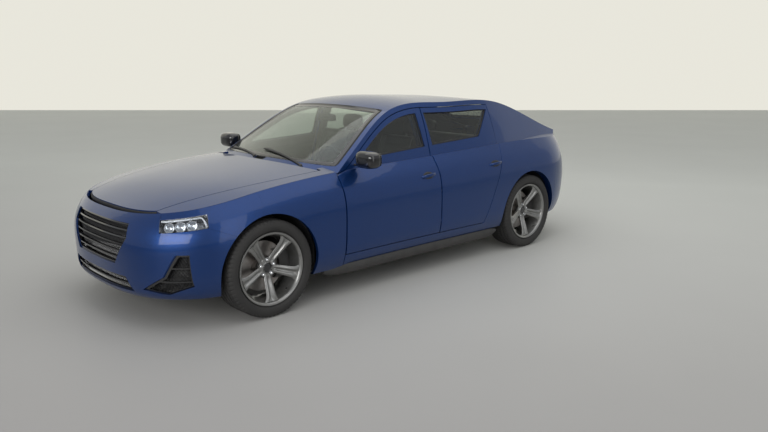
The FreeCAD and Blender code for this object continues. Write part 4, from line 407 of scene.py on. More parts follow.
def laid_at(triangles, along, z, way, lift=0.0):
    """Places on the panels that look to one side, backwards or forwards: along is the car's y or x there.

    A place is the outermost point of the panels at (along, z), moved out by lift."""
    along, z = np.broadcast_arrays(np.asarray(along, float), np.asarray(z, float))
    sign = basis(way)[0].sum()
    return laid_on(triangles, np.stack([along * sign, z], axis=-1), way) + np.asarray(way) * lift


def grid_normals(points, towards):
    """Unit normals of a grid, from the cross product of its two directions, on the side of towards."""
    along = np.gradient(points, axis=0)
    across = np.gradient(points, axis=1)
    normals = unit(np.cross(along, across))
    flip = np.sign(normals @ np.asarray(towards, float))
    return normals * np.where(flip == 0, 1, flip)[..., None]


# %% [markdown]
# Finishes come before the pieces that wear them. Effects that several materials share are shader groups:
# fine noise for grain, dust that settles low on the car, and the tiny flakes that make metallic paint
# glitter. A group only gives out masks, heights and colours; each material keeps its own shader.

# %% Shader groups that materials share
def new_group(name, inputs, outputs):
    group = bpy.data.node_groups.new(name, "ShaderNodeTree")
    for socket, value in inputs.items():
        made = group.interface.new_socket(socket, in_out="INPUT", socket_type="NodeSocketFloat")
        made.default_value = value
    for socket, kind in outputs.items():
        group.interface.new_socket(socket, in_out="OUTPUT", socket_type=kind)
    return group, group.nodes.new("NodeGroupInput"), group.nodes.new("NodeGroupOutput")


def add_node(tree, kind, inputs=None, **settings):
    """A node with its settings; inputs are values, or sockets to link from."""
    made = tree.nodes.new(kind)
    for name, value in settings.items():
        setattr(made, name, value)
    for key, value in (inputs or {}).items():
        if isinstance(value, bpy.types.NodeSocket):
            tree.links.new(value, made.inputs[key])
        else:
            made.inputs[key].default_value = value
    return made


def object_place(tree):
    """Where a point lies on the car, in metres."""
    return add_node(tree, "ShaderNodeTexCoord").outputs["Object"]


def noise_on(tree, place, scale, detail):
    """Smooth noise from 0 to 1, with scale waves to a metre."""
    made = add_node(tree, "ShaderNodeTexNoise", {"Vector": place, "Scale": scale, "Detail": detail})
    return made.outputs["Fac"]


def maths(tree, operation, *values):
    """The result of arithmetic on one, two or three values."""
    return add_node(tree, "ShaderNodeMath", dict(enumerate(values)), operation=operation).outputs["Value"]


def both(tree, a, b, operation="MULTIPLY"):
    """Two masks as one, which stays from 0 to 1."""
    made = add_node(tree, "ShaderNodeMath", {0: a, 1: b}, operation=operation, use_clamp=True)
    return made.outputs["Value"]


def between(tree, mask, low, high):
    """A value that goes from low to high as the mask goes from 0 to 1."""
    return add_node(tree, "ShaderNodeMix", {"Factor": mask, "A": low, "B": high}).outputs["Result"]


def make_grain_group():
    """Height of a moulded grain: round cells, with finer noise over them."""
    group, given, out = new_group("moulded_grain", {"Scale": 700.0, "Softness": 0.5},
                                  {"Height": "NodeSocketFloat", "Mottle": "NodeSocketFloat"})
    place = object_place(group)
    cells = add_node(group, "ShaderNodeTexVoronoi", {"Vector": place, "Scale": given.outputs["Scale"]},
                     feature="SMOOTH_F1")
    noise = noise_on(group, place, 90.0, 4.0)
    mixed = between(group, given.outputs["Softness"], cells.outputs["Distance"], noise)
    group.links.new(mixed, out.inputs["Height"])
    group.links.new(noise_on(group, place, 9.0, 3.0), out.inputs["Mottle"])
    return group


def make_dust_group():
    """Mask of road dust: full below Low, gone above High, broken up by noise."""
    group, given, out = new_group("road_dust", {"Low": 0.05, "High": 0.45, "Amount": 0.4},
                                  {"Mask": "NodeSocketFloat"})
    place = object_place(group)
    height = add_node(group, "ShaderNodeSeparateXYZ", {"Vector": place}).outputs["Z"]
    low = add_node(group, "ShaderNodeMapRange", {"Value": height, "From Min": given.outputs["High"],
                   "From Max": given.outputs["Low"]})
    noise = noise_on(group, place, 14.0, 6.0)
    broken = maths(group, "MULTIPLY", low.outputs["Result"], noise)
    group.links.new(both(group, broken, given.outputs["Amount"]), out.inputs["Mask"])
    return group


def make_flake_group():
    """Random tilt of the paint's metal flakes: each tiny cell turns the normal its own way."""
    group, given, out = new_group("paint_flakes", {"Scale": 2600.0, "Tilt": 0.12},
                                  {"Normal": "NodeSocketVector", "Sparkle": "NodeSocketFloat"})
    place = object_place(group)
    cells = add_node(group, "ShaderNodeTexVoronoi", {"Vector": place, "Scale": given.outputs["Scale"]})
    centred = add_node(group, "ShaderNodeVectorMath", {0: cells.outputs["Color"], 1: (0.5, 0.5, 0.5)},
                       operation="SUBTRACT")
    tilted = add_node(group, "ShaderNodeVectorMath", {0: centred.outputs["Vector"],
                      "Scale": given.outputs["Tilt"]}, operation="SCALE")
    flat = add_node(group, "ShaderNodeNewGeometry").outputs["Normal"]
    added = add_node(group, "ShaderNodeVectorMath", {0: flat, 1: tilted.outputs["Vector"]}, operation="ADD")
    normal = add_node(group, "ShaderNodeVectorMath", {0: added.outputs["Vector"]}, operation="NORMALIZE")
    group.links.new(normal.outputs["Vector"], out.inputs["Normal"])
    level = add_node(group, "ShaderNodeSeparateColor", {"Color": cells.outputs["Color"]}).outputs["Red"]
    group.links.new(level, out.inputs["Sparkle"])
    return group


grain_group = make_grain_group()
dust_group = make_dust_group()
flake_group = make_flake_group()


# %% [markdown]
# Each material is a short function around one Principled shader. Its base is a plain colour of the real
# finish. Grain, dust and small changes of tone come from the groups.

# %% Materials
def new_material(name, colour, roughness=0.5, metallic=0.0, **sockets):
    """A material with its shader; other sockets are set by their names, with _ for a space."""
    material = bpy.data.materials.new(name)
    material.use_nodes = True
    shader = material.node_tree.nodes["Principled BSDF"]
    shader.inputs["Base Color"].default_value = (*colour, 1.0)
    shader.inputs["Roughness"].default_value = roughness
    shader.inputs["Metallic"].default_value = metallic
    for socket, value in sockets.items():
        shader.inputs[socket.replace("_", " ")].default_value = value
    return material


def parts_of(material):
    tree = material.node_tree
    return tree, tree.nodes["Principled BSDF"]


def feed(material, **sockets):
    """The material with each value linked to the socket of that name, with _ for a space."""
    tree, shader = parts_of(material)
    for name, value in sockets.items():
        tree.links.new(value, shader.inputs[name.replace("_", " ")])
    return material


def use_group(tree, group, **values):
    made = add_node(tree, "ShaderNodeGroup", node_tree=group)
    for name, value in values.items():
        made.inputs[name].default_value = value
    return made


def toned(tree, mask, dark, light):
    """A colour that goes from dark to light as the mask goes from 0 to 1. Either may come from a socket."""
    dark, light = (end if isinstance(end, bpy.types.NodeSocket) else (*end, 1.0) for end in (dark, light))
    mix = add_node(tree, "ShaderNodeMix", {"Factor": mask, "A": dark, "B": light}, data_type="RGBA")
    return mix.outputs["Result"]


def ranged(tree, value, low, high):
    made = add_node(tree, "ShaderNodeMapRange", {"Value": value, "To Min": low, "To Max": high})
    return made.outputs["Result"]


def bumped(tree, height, strength, distance):
    made = add_node(tree, "ShaderNodeBump", {"Height": height, "Strength": strength, "Distance": distance})
    return made.outputs["Normal"]


# %% [markdown]
# A car that is driven is never quite clean, so one helper lays dust over a colour, low down on the body.
# Most black parts are moulded plastic: its grain is a bump, and its tone drifts a little over the piece.

# %% Dust and moulded plastic
DUST = (0.22, 0.205, 0.185)
BRAKE_DUST = (0.10, 0.085, 0.07)


def dusted(tree, colour_socket, low=0.05, high=0.5, amount=0.35):
    """The colour with road dust over its lower part."""
    mask = use_group(tree, dust_group, Low=low, High=high, Amount=amount).outputs["Mask"]
    return toned(tree, mask, colour_socket, DUST), mask


def plastic(name, colour, roughness=0.55, grain=700.0, depth=0.00012, spread=0.25, dust=0.0):
    """Moulded plastic: fine grain, and a tone that drifts a little over the piece."""
    material = new_material(name, colour, roughness)
    tree = material.node_tree
    made = use_group(tree, grain_group, Scale=grain, Softness=0.4)
    light = tuple(min(1.0, c * (1 + spread) + 0.004) for c in colour)
    dark = tuple(c * (1 - spread) for c in colour)
    tone = toned(tree, made.outputs["Mottle"], dark, light)
    if dust:
        tone, _ = dusted(tree, tone, amount=dust)
    return feed(material, Base_Color=tone, Roughness=ranged(tree, made.outputs["Mottle"], roughness - 0.08,
            roughness + 0.08), Normal=bumped(tree, made.outputs["Height"], 0.5, depth))


# %% [markdown]
# The body's paint is a metallic blue: metal flakes in a deep colour, under a clear coat that mirrors the
# room. A panel's inner side isn't painted so. One more mask finds those faces by where they look, and gives
# them the lining of the roof, the doors' dark inner face or the sealer under a lid.

# %% Body paint, and the linings on its inner sides
PAINT_DEEP = (0.002, 0.020, 0.095)
PAINT_BRIGHT = (0.004, 0.050, 0.225)
TRIM_BLACK = (0.012, 0.012, 0.013)


def side_masks(tree):
    """Object-space place and normal, and how far the normal points away from the car's middle plane."""
    coordinates = add_node(tree, "ShaderNodeTexCoord")
    place = add_node(tree, "ShaderNodeSeparateXYZ", {"Vector": coordinates.outputs["Object"]})
    normal = add_node(tree, "ShaderNodeSeparateXYZ", {"Vector": coordinates.outputs["Normal"]})
    side = maths(tree, "SIGN", place.outputs["X"])
    return place, normal, maths(tree, "MULTIPLY", normal.outputs["X"], side)


def above(tree, value, limit, width):
    """1 where the value is over the limit, 0 under it, with a short ramp between."""
    made = add_node(tree, "ShaderNodeMapRange", {"Value": value, "From Min": limit - width,
            "From Max": limit + width})
    return made.outputs["Result"]


def reversed_mask(tree, mask):
    return maths(tree, "SUBTRACT", 1.0, mask)


def body_paint(name, lining=None, lined=None):
    """Metallic blue under a clear coat. lined(tree) gives a mask of the faces that wear the lining."""
    material = new_material(name, PAINT_DEEP, 0.34, 0.72, Coat_Weight=0.8, Coat_Roughness=0.025, Coat_IOR=1.4)
    tree = material.node_tree
    flakes = use_group(tree, flake_group, Scale=2600.0, Tilt=0.10)
    tone = toned(tree, flakes.outputs["Sparkle"], PAINT_DEEP, PAINT_BRIGHT)
    tone, dust = dusted(tree, tone, 0.12, 0.42, 0.16)
    rough = ranged(tree, dust, 0.34, 0.7)
    metal = ranged(tree, dust, 0.72, 0.0)
    coat = ranged(tree, dust, 0.8, 0.1)
    if lining:
        mask = lined(tree)
        tone = toned(tree, mask, tone, lining)
        plain = reversed_mask(tree, mask)
        metal = both(tree, metal, plain)
        coat = both(tree, coat, plain)
        rough = between(tree, mask, rough, 0.75)
    return feed(material, Base_Color=tone, Roughness=rough, Metallic=metal, Coat_Weight=coat,
                Normal=flakes.outputs["Normal"])


def door_inside(tree):
    """Mask of a door's faces that look into the cabin."""
    _, _, outward = side_masks(tree)
    return reversed_mask(tree, above(tree, outward, -0.55, 0.08))


def shell_inside(tree):
    """Mask of the shell's faces that look into the cabin: the roof's underside and the posts' inner faces."""
    place, normal, outward = side_masks(tree)
    under = reversed_mask(tree, above(tree, normal.outputs["Z"], -0.35, 0.08))
    high = above(tree, place.outputs["Z"], 1.05, 0.02)
    inner = reversed_mask(tree, above(tree, outward, -0.45, 0.08))
    floor_up = above(tree, place.outputs["Z"], 0.5, 0.02)
    return both(tree, both(tree, under, high), both(tree, inner, floor_up), "MAXIMUM")


def lid_inside(tree):
    """Mask of a lid's underside."""
    _, normal, _ = side_masks(tree)
    return reversed_mask(tree, above(tree, normal.outputs["Z"], -0.5, 0.08))


HEADLINER = (0.20, 0.195, 0.185)
CABIN_DARK = (0.022, 0.022, 0.024)
UNDERSEAL = (0.018, 0.018, 0.019)

# %% [markdown]
# With the helpers in place, the finishes themselves are one line each.

# %% Paints and plastics
paint = body_paint("paint_blue")
paint_door = body_paint("paint_blue_door", CABIN_DARK, door_inside)
paint_shell = body_paint("paint_blue_shell", HEADLINER, shell_inside)
paint_lid = body_paint("paint_blue_lid", UNDERSEAL, lid_inside)
trim = plastic("trim_black", TRIM_BLACK, 0.42, 900.0, 0.00008)
trim_rough = plastic("trim_rough", (0.02, 0.02, 0.021), 0.62, 600.0, 0.0002, dust=0.3)
trim_gloss = new_material("trim_gloss", (0.008, 0.008, 0.009), 0.12, 0.0, Coat_Weight=0.6,
                          Coat_Roughness=0.03)
cabin_plastic = plastic("cabin_plastic", CABIN_DARK, 0.6, 800.0, 0.00015)
underseal = plastic("underseal", UNDERSEAL, 0.8, 160.0, 0.0015, dust=0.7)
rubber = plastic("seal_rubber", (0.010, 0.010, 0.010), 0.66, 500.0, 0.00006)


# %% [markdown]
# Safety glass is tinted in its mass, a little more at the sides than in the windscreen. Bare metals differ
# in colour and in how rough their fine scratches make them.

# %% Glass and metals
def window_glass(name, tint, roughness=0.01):
    """Safety glass, tinted in its mass: it lets light through, and mirrors the room at a low angle."""
    material = new_material(name, tint, roughness, 0.0, Transmission_Weight=1.0, IOR=1.45)
    tree = material.node_tree
    place = object_place(tree)
    film = noise_on(tree, place, 3.0, 5.0)
    return feed(material, Roughness=ranged(tree, film, roughness, roughness + 0.03))


screen_glass = window_glass("screen_glass", (0.62, 0.72, 0.66))
side_glass = window_glass("side_glass", (0.62, 0.66, 0.61))
lens_clear = new_material("lens_clear", (0.95, 0.97, 0.99), 0.015, 0.0, Transmission_Weight=1.0, IOR=1.3)
lens_red = new_material("lens_red", (0.62, 0.012, 0.016), 0.03, 0.0, Transmission_Weight=0.9, IOR=1.3)


def metal(name, colour, roughness, scratch=60.0, strength=0.15, dust=0.0):
    """Bare metal whose roughness follows fine scratches along one way."""
    material = new_material(name, colour, roughness, 1.0)
    tree = material.node_tree
    place = object_place(tree)
    stretched = add_node(tree, "ShaderNodeMapping", {"Vector": place, "Scale": (1.0, 1.0, 14.0)})
    noise = noise_on(tree, stretched.outputs["Vector"], scratch, 6.0)
    feed(material, Roughness=ranged(tree, noise, roughness * 0.7, roughness * 1.4))
    dark = tuple(c * 0.8 for c in colour)
    tone = toned(tree, noise, dark, colour)
    if dust:
        tone, _ = dusted(tree, tone, 0.0, 0.8, dust)
    return feed(material, Base_Color=tone, Normal=bumped(tree, noise, strength, 0.0002))


exhaust_steel = metal("exhaust_steel", (0.42, 0.39, 0.35), 0.32, dust=0.35)
engine_alloy = metal("engine_alloy", (0.33, 0.33, 0.34), 0.5, 40.0, 0.4, dust=0.3)
chrome = metal("bright_metal", (0.75, 0.76, 0.78), 0.12, 30.0, 0.03)
satin = metal("satin_metal", (0.36, 0.37, 0.38), 0.3, 50.0, 0.05)
chassis_iron = plastic("chassis_coat", (0.022, 0.022, 0.023), 0.5, 220.0, 0.0006, dust=0.5)
mirror_face = new_material("mirror_face", (0.86, 0.88, 0.9), 0.02, 1.0)
lamp_white = new_material("lamp_white", (0.9, 0.92, 0.95), 0.25, 0.0, Coat_Weight=0.5)
lamp_bowl = new_material("lamp_bowl", (0.30, 0.31, 0.33), 0.22, 0.9)


# %% [markdown]
# The wheels have finishes of their own. A brake disc shows the rings that its pads have cut, a rim is
# painted silver with patches of brake dust, and a tyre's rubber is greyer where it has bloomed. Leather
# follows here too, for the seats and the steering wheel.

# %% Discs, rims, tyres and leather
def disc_iron_finish():
    """Machined iron: rings round the axle, seen as waves of height over the distance from it."""
    material = new_material("disc_iron", (0.36, 0.35, 0.34), 0.32, 1.0)
    tree = material.node_tree
    place = object_place(tree)
    apart = add_node(tree, "ShaderNodeSeparateXYZ", {"Vector": place})
    along = maths(tree, "ABSOLUTE", apart.outputs["Y"])
    behind = above(tree, apart.outputs["Y"], 0.0, 0.001)
    axle = between(tree, behind, -front_axle_y, rear_axle_y)
    reach = maths(tree, "SUBTRACT", along, axle)
    rise = maths(tree, "SUBTRACT", apart.outputs["Z"], axle_height)
    flat = add_node(tree, "ShaderNodeCombineXYZ", {"X": reach, "Y": rise})
    out = add_node(tree, "ShaderNodeVectorMath", {0: flat.outputs["Vector"]},
                   operation="LENGTH").outputs["Value"]
    wave = maths(tree, "MULTIPLY", out, 2600.0)
    rings = maths(tree, "SINE", wave)
    noise = noise_on(tree, place, 25.0, 5.0)
    return feed(material, Base_Color=toned(tree, noise, (0.20, 0.17, 0.15), (0.42, 0.41, 0.40)),
                Roughness=ranged(tree, noise, 0.26, 0.46), Normal=bumped(tree, rings, 0.25, 0.0001))


def rim_finish():
    """Painted silver alloy: fine flakes under a clear coat, with patches of brake dust."""
    material = new_material("rim_silver", (0.26, 0.26, 0.255), 0.34, 0.85, Coat_Weight=0.7,
                            Coat_Roughness=0.08)
    tree = material.node_tree
    flakes = use_group(tree, flake_group, Scale=3200.0, Tilt=0.06)
    tone = toned(tree, flakes.outputs["Sparkle"], (0.20, 0.20, 0.195), (0.30, 0.30, 0.29))
    place = object_place(tree)
    noise = noise_on(tree, place, 18.0, 6.0)
    grime = both(tree, above(tree, noise, 0.62, 0.12), 0.35)
    return feed(material, Base_Color=toned(tree, grime, tone, BRAKE_DUST),
                Roughness=ranged(tree, noise, 0.26, 0.42), Normal=flakes.outputs["Normal"])


def tyre_finish():
    """Black rubber, greyer where it is dusty, with the faint bloom of its sidewall."""
    material = new_material("tyre_rubber", (0.018, 0.018, 0.018), 0.72)
    tree = material.node_tree
    place = object_place(tree)
    bloom = noise_on(tree, place, 11.0, 7.0)
    fine = noise_on(tree, place, 420.0, 3.0)
    tone = toned(tree, bloom, (0.011, 0.011, 0.011), (0.036, 0.034, 0.032))
    return feed(material, Base_Color=tone, Roughness=ranged(tree, bloom, 0.62, 0.85),
                Normal=bumped(tree, fine, 0.4, 0.0004))


def leather_finish(name, colour, scale=420.0):
    """Leather: creased cells, paler where it is worn smooth, with a soft sheen."""
    material = new_material(name, colour, 0.48, 0.0, Sheen_Weight=0.15, Sheen_Roughness=0.4)
    tree = material.node_tree
    made = use_group(tree, grain_group, Scale=scale, Softness=0.25)
    light = tuple(min(1.0, c * 1.5 + 0.006) for c in colour)
    dark = tuple(c * 0.75 for c in colour)
    return feed(material, Base_Color=toned(tree, made.outputs["Mottle"], dark, light),
                Roughness=ranged(tree, made.outputs["Mottle"], 0.40, 0.56), Normal=bumped(tree,
                        made.outputs["Height"], 0.6, 0.0004))


# %% [markdown]
# The discs' rings need to know where the axles are, so the tyres' boxes in the solid model are read first.

# %% Where the wheels stand, and the last finishes
front_low, front_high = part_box("tyre_front_left")
rear_low, rear_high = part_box("tyre_rear_left")
front_axle_y = (front_low.y + front_high.y) / 2
rear_axle_y = (rear_low.y + rear_high.y) / 2
axle_height = front_high.z / 2
tyre_radius = front_high.z / 2
tyre_half_width = (front_high.x - front_low.x) / 2
wheel_x = (front_low.x + front_high.x) / 2
print("axles at", round(front_axle_y, 3), round(rear_axle_y, 3), "wheel centre", round(wheel_x, 3),
      round(axle_height, 3))

disc_iron = disc_iron_finish()
rim_silver = rim_finish()
tyre_rubber = tyre_finish()
seat_leather = leather_finish("seat_leather", (0.045, 0.041, 0.038))
wheel_leather = leather_finish("wheel_leather", (0.020, 0.020, 0.020), 600.0)


# %% [markdown]
# The solid model's meshes are flat triangles. Its panels are curved, so they are shown smooth: a small
# Geometry Nodes group joins the corners that coincide and keeps an edge sharp only where the faces turn by
# more than a set angle. The meshes themselves stay as they are.

# %% Smooth panels, and finishes for the solid model's pieces
SHARP_TURN = math.radians(28)


def make_smooth_group():
    group = bpy.data.node_groups.new("smooth_panels", "GeometryNodeTree")
    group.interface.new_socket("Geometry", in_out="INPUT", socket_type="NodeSocketGeometry")
    group.interface.new_socket("Geometry", in_out="OUTPUT", socket_type="NodeSocketGeometry")
    given, out = group.nodes.new("NodeGroupInput"), group.nodes.new("NodeGroupOutput")
    merged = add_node(group, "GeometryNodeMergeByDistance",
                      {"Geometry": given.outputs["Geometry"], "Distance": 2e-5})
    smooth = add_node(group, "GeometryNodeSetShadeSmooth", {"Geometry": merged.outputs["Geometry"]})
    turn = add_node(group, "GeometryNodeInputMeshEdgeAngle").outputs["Unsigned Angle"]
    sharp = add_node(group, "FunctionNodeCompare", {"A": turn, "B": SHARP_TURN}, data_type="FLOAT",
                     operation="GREATER_THAN")
    edges = add_node(group, "GeometryNodeSetShadeSmooth", {"Geometry": smooth.outputs["Geometry"],
                     "Selection": sharp.outputs["Result"], "Shade Smooth": False}, domain="EDGE")
    group.links.new(edges.outputs["Geometry"], out.inputs["Geometry"])
    return group


smooth_panels = make_smooth_group()

node_finishes = {
    "body_shell": paint_shell, "front_fenders": paint, "front_bumper": paint, "rear_bumper": paint,
    "hood": paint_lid, "tailgate": paint_lid, "floor_pan": underseal, "front_frame": underseal,
    "windshield": screen_glass, "tailgate_glass": side_glass, "grille": trim_gloss, "headlamps": lens_clear,
    "tail_lamps": lens_red, "dashboard": cabin_plastic, "engine": engine_alloy, "exhaust": exhaust_steel,
    "front_suspension": chassis_iron, "rear_suspension": chassis_iron, "wipers": trim,
    "steering_wheel": wheel_leather, "knuckle_front_left": chassis_iron, "knuckle_front_right": chassis_iron,
    "front_seats": seat_leather, "rear_seat": seat_leather,
}
for side in ("left", "right"):
    for place in ("front", "rear"):
        node_finishes[f"door_{place}_{side}"] = paint_door
        node_finishes[f"glass_{place}_{side}"] = side_glass
        node_finishes[f"tyre_{place}_{side}"] = tyre_rubber
        node_finishes[f"rim_{place}_{side}"] = rim_silver
        node_finishes[f"brake_disc_{place}_{side}"] = disc_iron
    node_finishes[f"mirror_{side}"] = trim

for name, node in nodes.items():
    node.data.materials.clear()
    node.data.materials.append(node_finishes[name])
    modifier = node.modifiers.new("smooth panels", "NODES")
    modifier.node_group = smooth_panels
print(len(nodes), "nodes have a finish")


# %% [markdown]
# The room is a plain studio: a pale floor, a white wall far behind, and light from large soft lamps. The
# wall is as bright as in the photograph because its own material says so to the camera and to reflections,
# not because more light falls on the car.

# %% Floor, wall and lamps
FLOOR_NEAR_SHADE = (0.330, 0.318, 0.312)
FLOOR_FAR_LIGHT = (0.750, 0.760, 0.715)
WALL_COLOUR = (0.81, 0.795, 0.715)
ROOM_REACH = 60.0
WALL_AWAY = 19.0
ROOM_LIGHT = (0.80, 0.82, 0.84)
ROOM_STRENGTH = 0.62
# Painted light: the floor's colour pales with the distance along the view, and a little to the right, between
# these two depths
PAINTED_LIGHT_LEAN = 0.22
PAINTED_LIGHT_START = -4.2
PAINTED_LIGHT_END = 4.6


def flat_square(name, centre, right, up):
    """A flat four-sided sheet round a centre, from its two half sides."""
    centre, right, up = (np.asarray(v, float) for v in (centre, right, up))
    corners = np.array([centre - right - up, centre + right - up, centre + right + up, centre - right + up])
    mesh = bpy.data.meshes.new(name)
    mesh.from_pydata(corners.tolist(), [], [[0, 1, 2, 3]])
    sheet = bpy.data.objects.new(name, mesh)
    bpy.context.scene.collection.objects.link(sheet)
    return sheet


def shown_bright(material, colour, strength=1.0):
    """The material, but with its own plain light for the camera, reflections and glass."""
    tree, shader = parts_of(material)
    light = add_node(tree, "ShaderNodeEmission", {"Color": (*colour, 1.0), "Strength": strength})
    path = add_node(tree, "ShaderNodeLightPath")
    seen = both(tree, path.outputs["Is Camera Ray"], path.outputs["Is Glossy Ray"], "MAXIMUM")
    seen = both(tree, seen, path.outputs["Is Transmission Ray"], "MAXIMUM")
    mix = add_node(tree, "ShaderNodeMixShader", {0: seen, 1: shader.outputs["BSDF"],
            2: light.outputs["Emission"]})
    tree.links.new(mix.outputs["Shader"], tree.nodes["Material Output"].inputs["Surface"])
    return material


floor = flat_square("floor", (0, 0, 0), (ROOM_REACH, 0, 0), (0, ROOM_REACH, 0))
floor_material = new_material("studio_floor", FLOOR_NEAR_SHADE, 0.55)
floor_tree, floor_shader = parts_of(floor_material)
floor_place = object_place(floor_tree)
floor_noise = noise_on(floor_tree, floor_place, 0.7, 4.0)
view_way = Vector((-math.sin(camera_yaw), math.cos(camera_yaw), 0))
side_way = Vector((math.cos(camera_yaw), math.sin(camera_yaw), 0))
away = add_node(floor_tree, "ShaderNodeVectorMath", {0: floor_place, 1: view_way},
                operation="DOT_PRODUCT").outputs["Value"]
across = add_node(floor_tree, "ShaderNodeVectorMath", {0: floor_place, 1: side_way},
                  operation="DOT_PRODUCT").outputs["Value"]
depth = maths(floor_tree, "MULTIPLY_ADD", across, PAINTED_LIGHT_LEAN, away)
depth = add_node(floor_tree, "ShaderNodeMapRange", {"Value": depth, "From Min": PAINTED_LIGHT_START,
        "From Max": PAINTED_LIGHT_END}).outputs["Result"]
shade = between(floor_tree, floor_noise, 0.96, 1.04)
# Painted light: the floor goes from a painted shade near the camera to a painted light far from it
floor_tone = toned(floor_tree, depth, FLOOR_NEAR_SHADE, FLOOR_FAR_LIGHT)
floor_tone = add_node(floor_tree, "ShaderNodeVectorMath", {0: floor_tone, "Scale": shade},
                      operation="SCALE").outputs["Vector"]
floor_tree.links.new(floor_tone, floor_shader.inputs["Base Color"])
floor.data.materials.append(floor_material)

wall_centre = camera_place + view_way * (WALL_AWAY + camera_place.length)
wall_centre.z = ROOM_REACH / 4
wall = flat_square("wall", wall_centre, side_way * ROOM_REACH, (0, 0, ROOM_REACH / 4))
wall.data.materials.append(shown_bright(new_material("studio_wall", WALL_COLOUR, 0.9), WALL_COLOUR))


def soft_lamp(name, place, aim, size, watts):
    """A large square lamp at place that shines towards aim."""
    data = bpy.data.lights.new(name, "AREA")
    data.shape = "RECTANGLE"
    data.size, data.size_y = size
    data.energy = watts
    lamp = bpy.data.objects.new(name, data)
    lamp.location = place
    lamp.rotation_euler = (Vector(aim) - Vector(place)).to_track_quat("-Z", "Y").to_euler()
    bpy.context.scene.collection.objects.link(lamp)
    return lamp


soft_lamp("ceiling", (0.5, 0.5, 5.2), (0, 0.5, 0), (7.0, 8.0), 130.0)
soft_lamp("side", (7.5, -1.0, 3.4), (0, 0.2, 0.6), (3.0, 7.0), 80.0)
soft_lamp("nose", (3.2, -7.5, 2.6), (0.5, -2.0, 0.5), (5.0, 2.5), 190.0)

world = bpy.data.worlds.new("room")
bpy.context.scene.world = world
world.use_nodes = True
room_light = world.node_tree.nodes["Background"].inputs
room_light["Color"].default_value = (*ROOM_LIGHT, 1.0)
room_light["Strength"].default_value = ROOM_STRENGTH
print("room light", ROOM_STRENGTH, "with three soft lamps")


# %% [markdown]
# A tyre is one closed surface: its profile goes round the carcass, and at the tread each point sinks where a
# groove runs. Four grooves run round the tyre, and short slanted ones cross the shoulders at every pitch.
# The grid has points just inside and outside each groove's edge, so the blocks have upright walls.

# %% Tyres with their tread
def spline(points, count):
    """A smooth line through points: on each stretch the Catmull-Rom cubic of its four nearest points."""
    points = np.asarray(points, float)
    padded = np.concatenate([2 * points[:1] - points[1:2], points, 2 * points[-1:] - points[-2:-1]])
    t = np.linspace(0, len(points) - 1, count)
    i = np.minimum(t.astype(int), len(points) - 2)
    u = (t - i)[:, None]
    p0, p1, p2, p3 = padded[i], padded[i + 1], padded[i + 2], padded[i + 3]
    return 0.5 * (2 * p1 + (p2 - p0) * u + (2 * p0 - 5 * p1 + 4 * p2 - p3) * u**2
                  + (3 * (p1 - p2) + p3 - p0) * u**3)


TREAD_PITCHES = 68
ROWS_PER_PITCH = 8
GROOVE_PLACES = (-0.066, -0.023, 0.023, 0.066)
GROOVE_HALF_WIDTH = 0.0045
GROOVE_WALL = 0.0009
GROOVE_DEPTH = 0.0065
SHOULDER_START = 0.072
TREAD_HALF_WIDTH = 0.103
TREAD_STARTS = 0.318
BEAD_REACH = 0.0995
SEAT_RADIUS = 0.2436


def tyre_shape(centre):
    """Carcass and tread as one torus: radius = profile(a) minus the depth of the groove at (a, angle)."""
    radius, half = tyre_radius, tyre_half_width
    side = [(BEAD_REACH, SEAT_RADIUS + 0.014), (half - 0.006, 0.270), (half - 0.0004, 0.290),
            (half - 0.003, 0.309),
            (0.1135, 0.3245), (TREAD_HALF_WIDTH, radius - 0.0035), (0.088, radius - 0.0008)]
    side = spline(side, 22)
    across = np.linspace(-0.082, 0.082, 17)
    inner_half = GROOVE_HALF_WIDTH - GROOVE_WALL
    rims = np.array([-GROOVE_HALF_WIDTH, -inner_half, inner_half, GROOVE_HALF_WIDTH])
    edges = (np.array(GROOVE_PLACES)[:, None] + rims).ravel()
    across = np.sort(np.concatenate([across, edges]))
    crown = np.stack([across, radius - 0.0008 * (across / 0.088) ** 2], axis=-1)
    left = side * np.array([-1.0, 1.0])
    bore = np.array([(BEAD_REACH, SEAT_RADIUS), (0.03, SEAT_RADIUS), (-0.03, SEAT_RADIUS),
                     (-BEAD_REACH, SEAT_RADIUS)])
    profile = np.concatenate([bore, left, crown, side[::-1]])
    a, r = profile[:, 0], profile[:, 1]
    rows = TREAD_PITCHES * ROWS_PER_PITCH
    angle = ring_of(rows)
    groove = np.zeros(len(a))
    for place in GROOVE_PLACES:
        inside = GROOVE_HALF_WIDTH - np.abs(a - place)
        groove = np.maximum(groove, np.clip(inside / GROOVE_WALL, 0, 1))
    pitch = 2 * math.pi / TREAD_PITCHES
    lean = np.clip(np.abs(a) - 0.02, 0, 0.1) * 6.0
    phase = ((angle[:, None] / pitch + lean[None, :]) % 1.0) * ROWS_PER_PITCH
    slot = np.clip(1.5 - np.abs(phase - 2.0), 0, 1)
    on_shoulder = np.clip((np.abs(a) - SHOULDER_START) / 0.002, 0, 1) * (r > TREAD_STARTS)
    on_centre = np.clip((0.020 - np.abs(a)) / 0.002, 0, 1) * 0.55 * (r > TREAD_STARTS)
    depth = np.maximum(groove[None, :], slot * (on_shoulder * 0.8 + on_centre)[None, :]) * GROOVE_DEPTH
    ridge = 0.0006 * (np.abs(r - 0.276) < 0.0015) + 0.0006 * (np.abs(r - 0.300) < 0.0015)
    out = r[None, :] - depth
    along = np.broadcast_to((a + np.sign(a) * ridge)[None, :], out.shape)
    points = np.stack([along, out * np.cos(angle)[:, None], out * np.sin(angle)[:, None]], axis=-1)
    return turned_out(grid(points + np.asarray(centre, float), wrap_rows=True, wrap_columns=True))


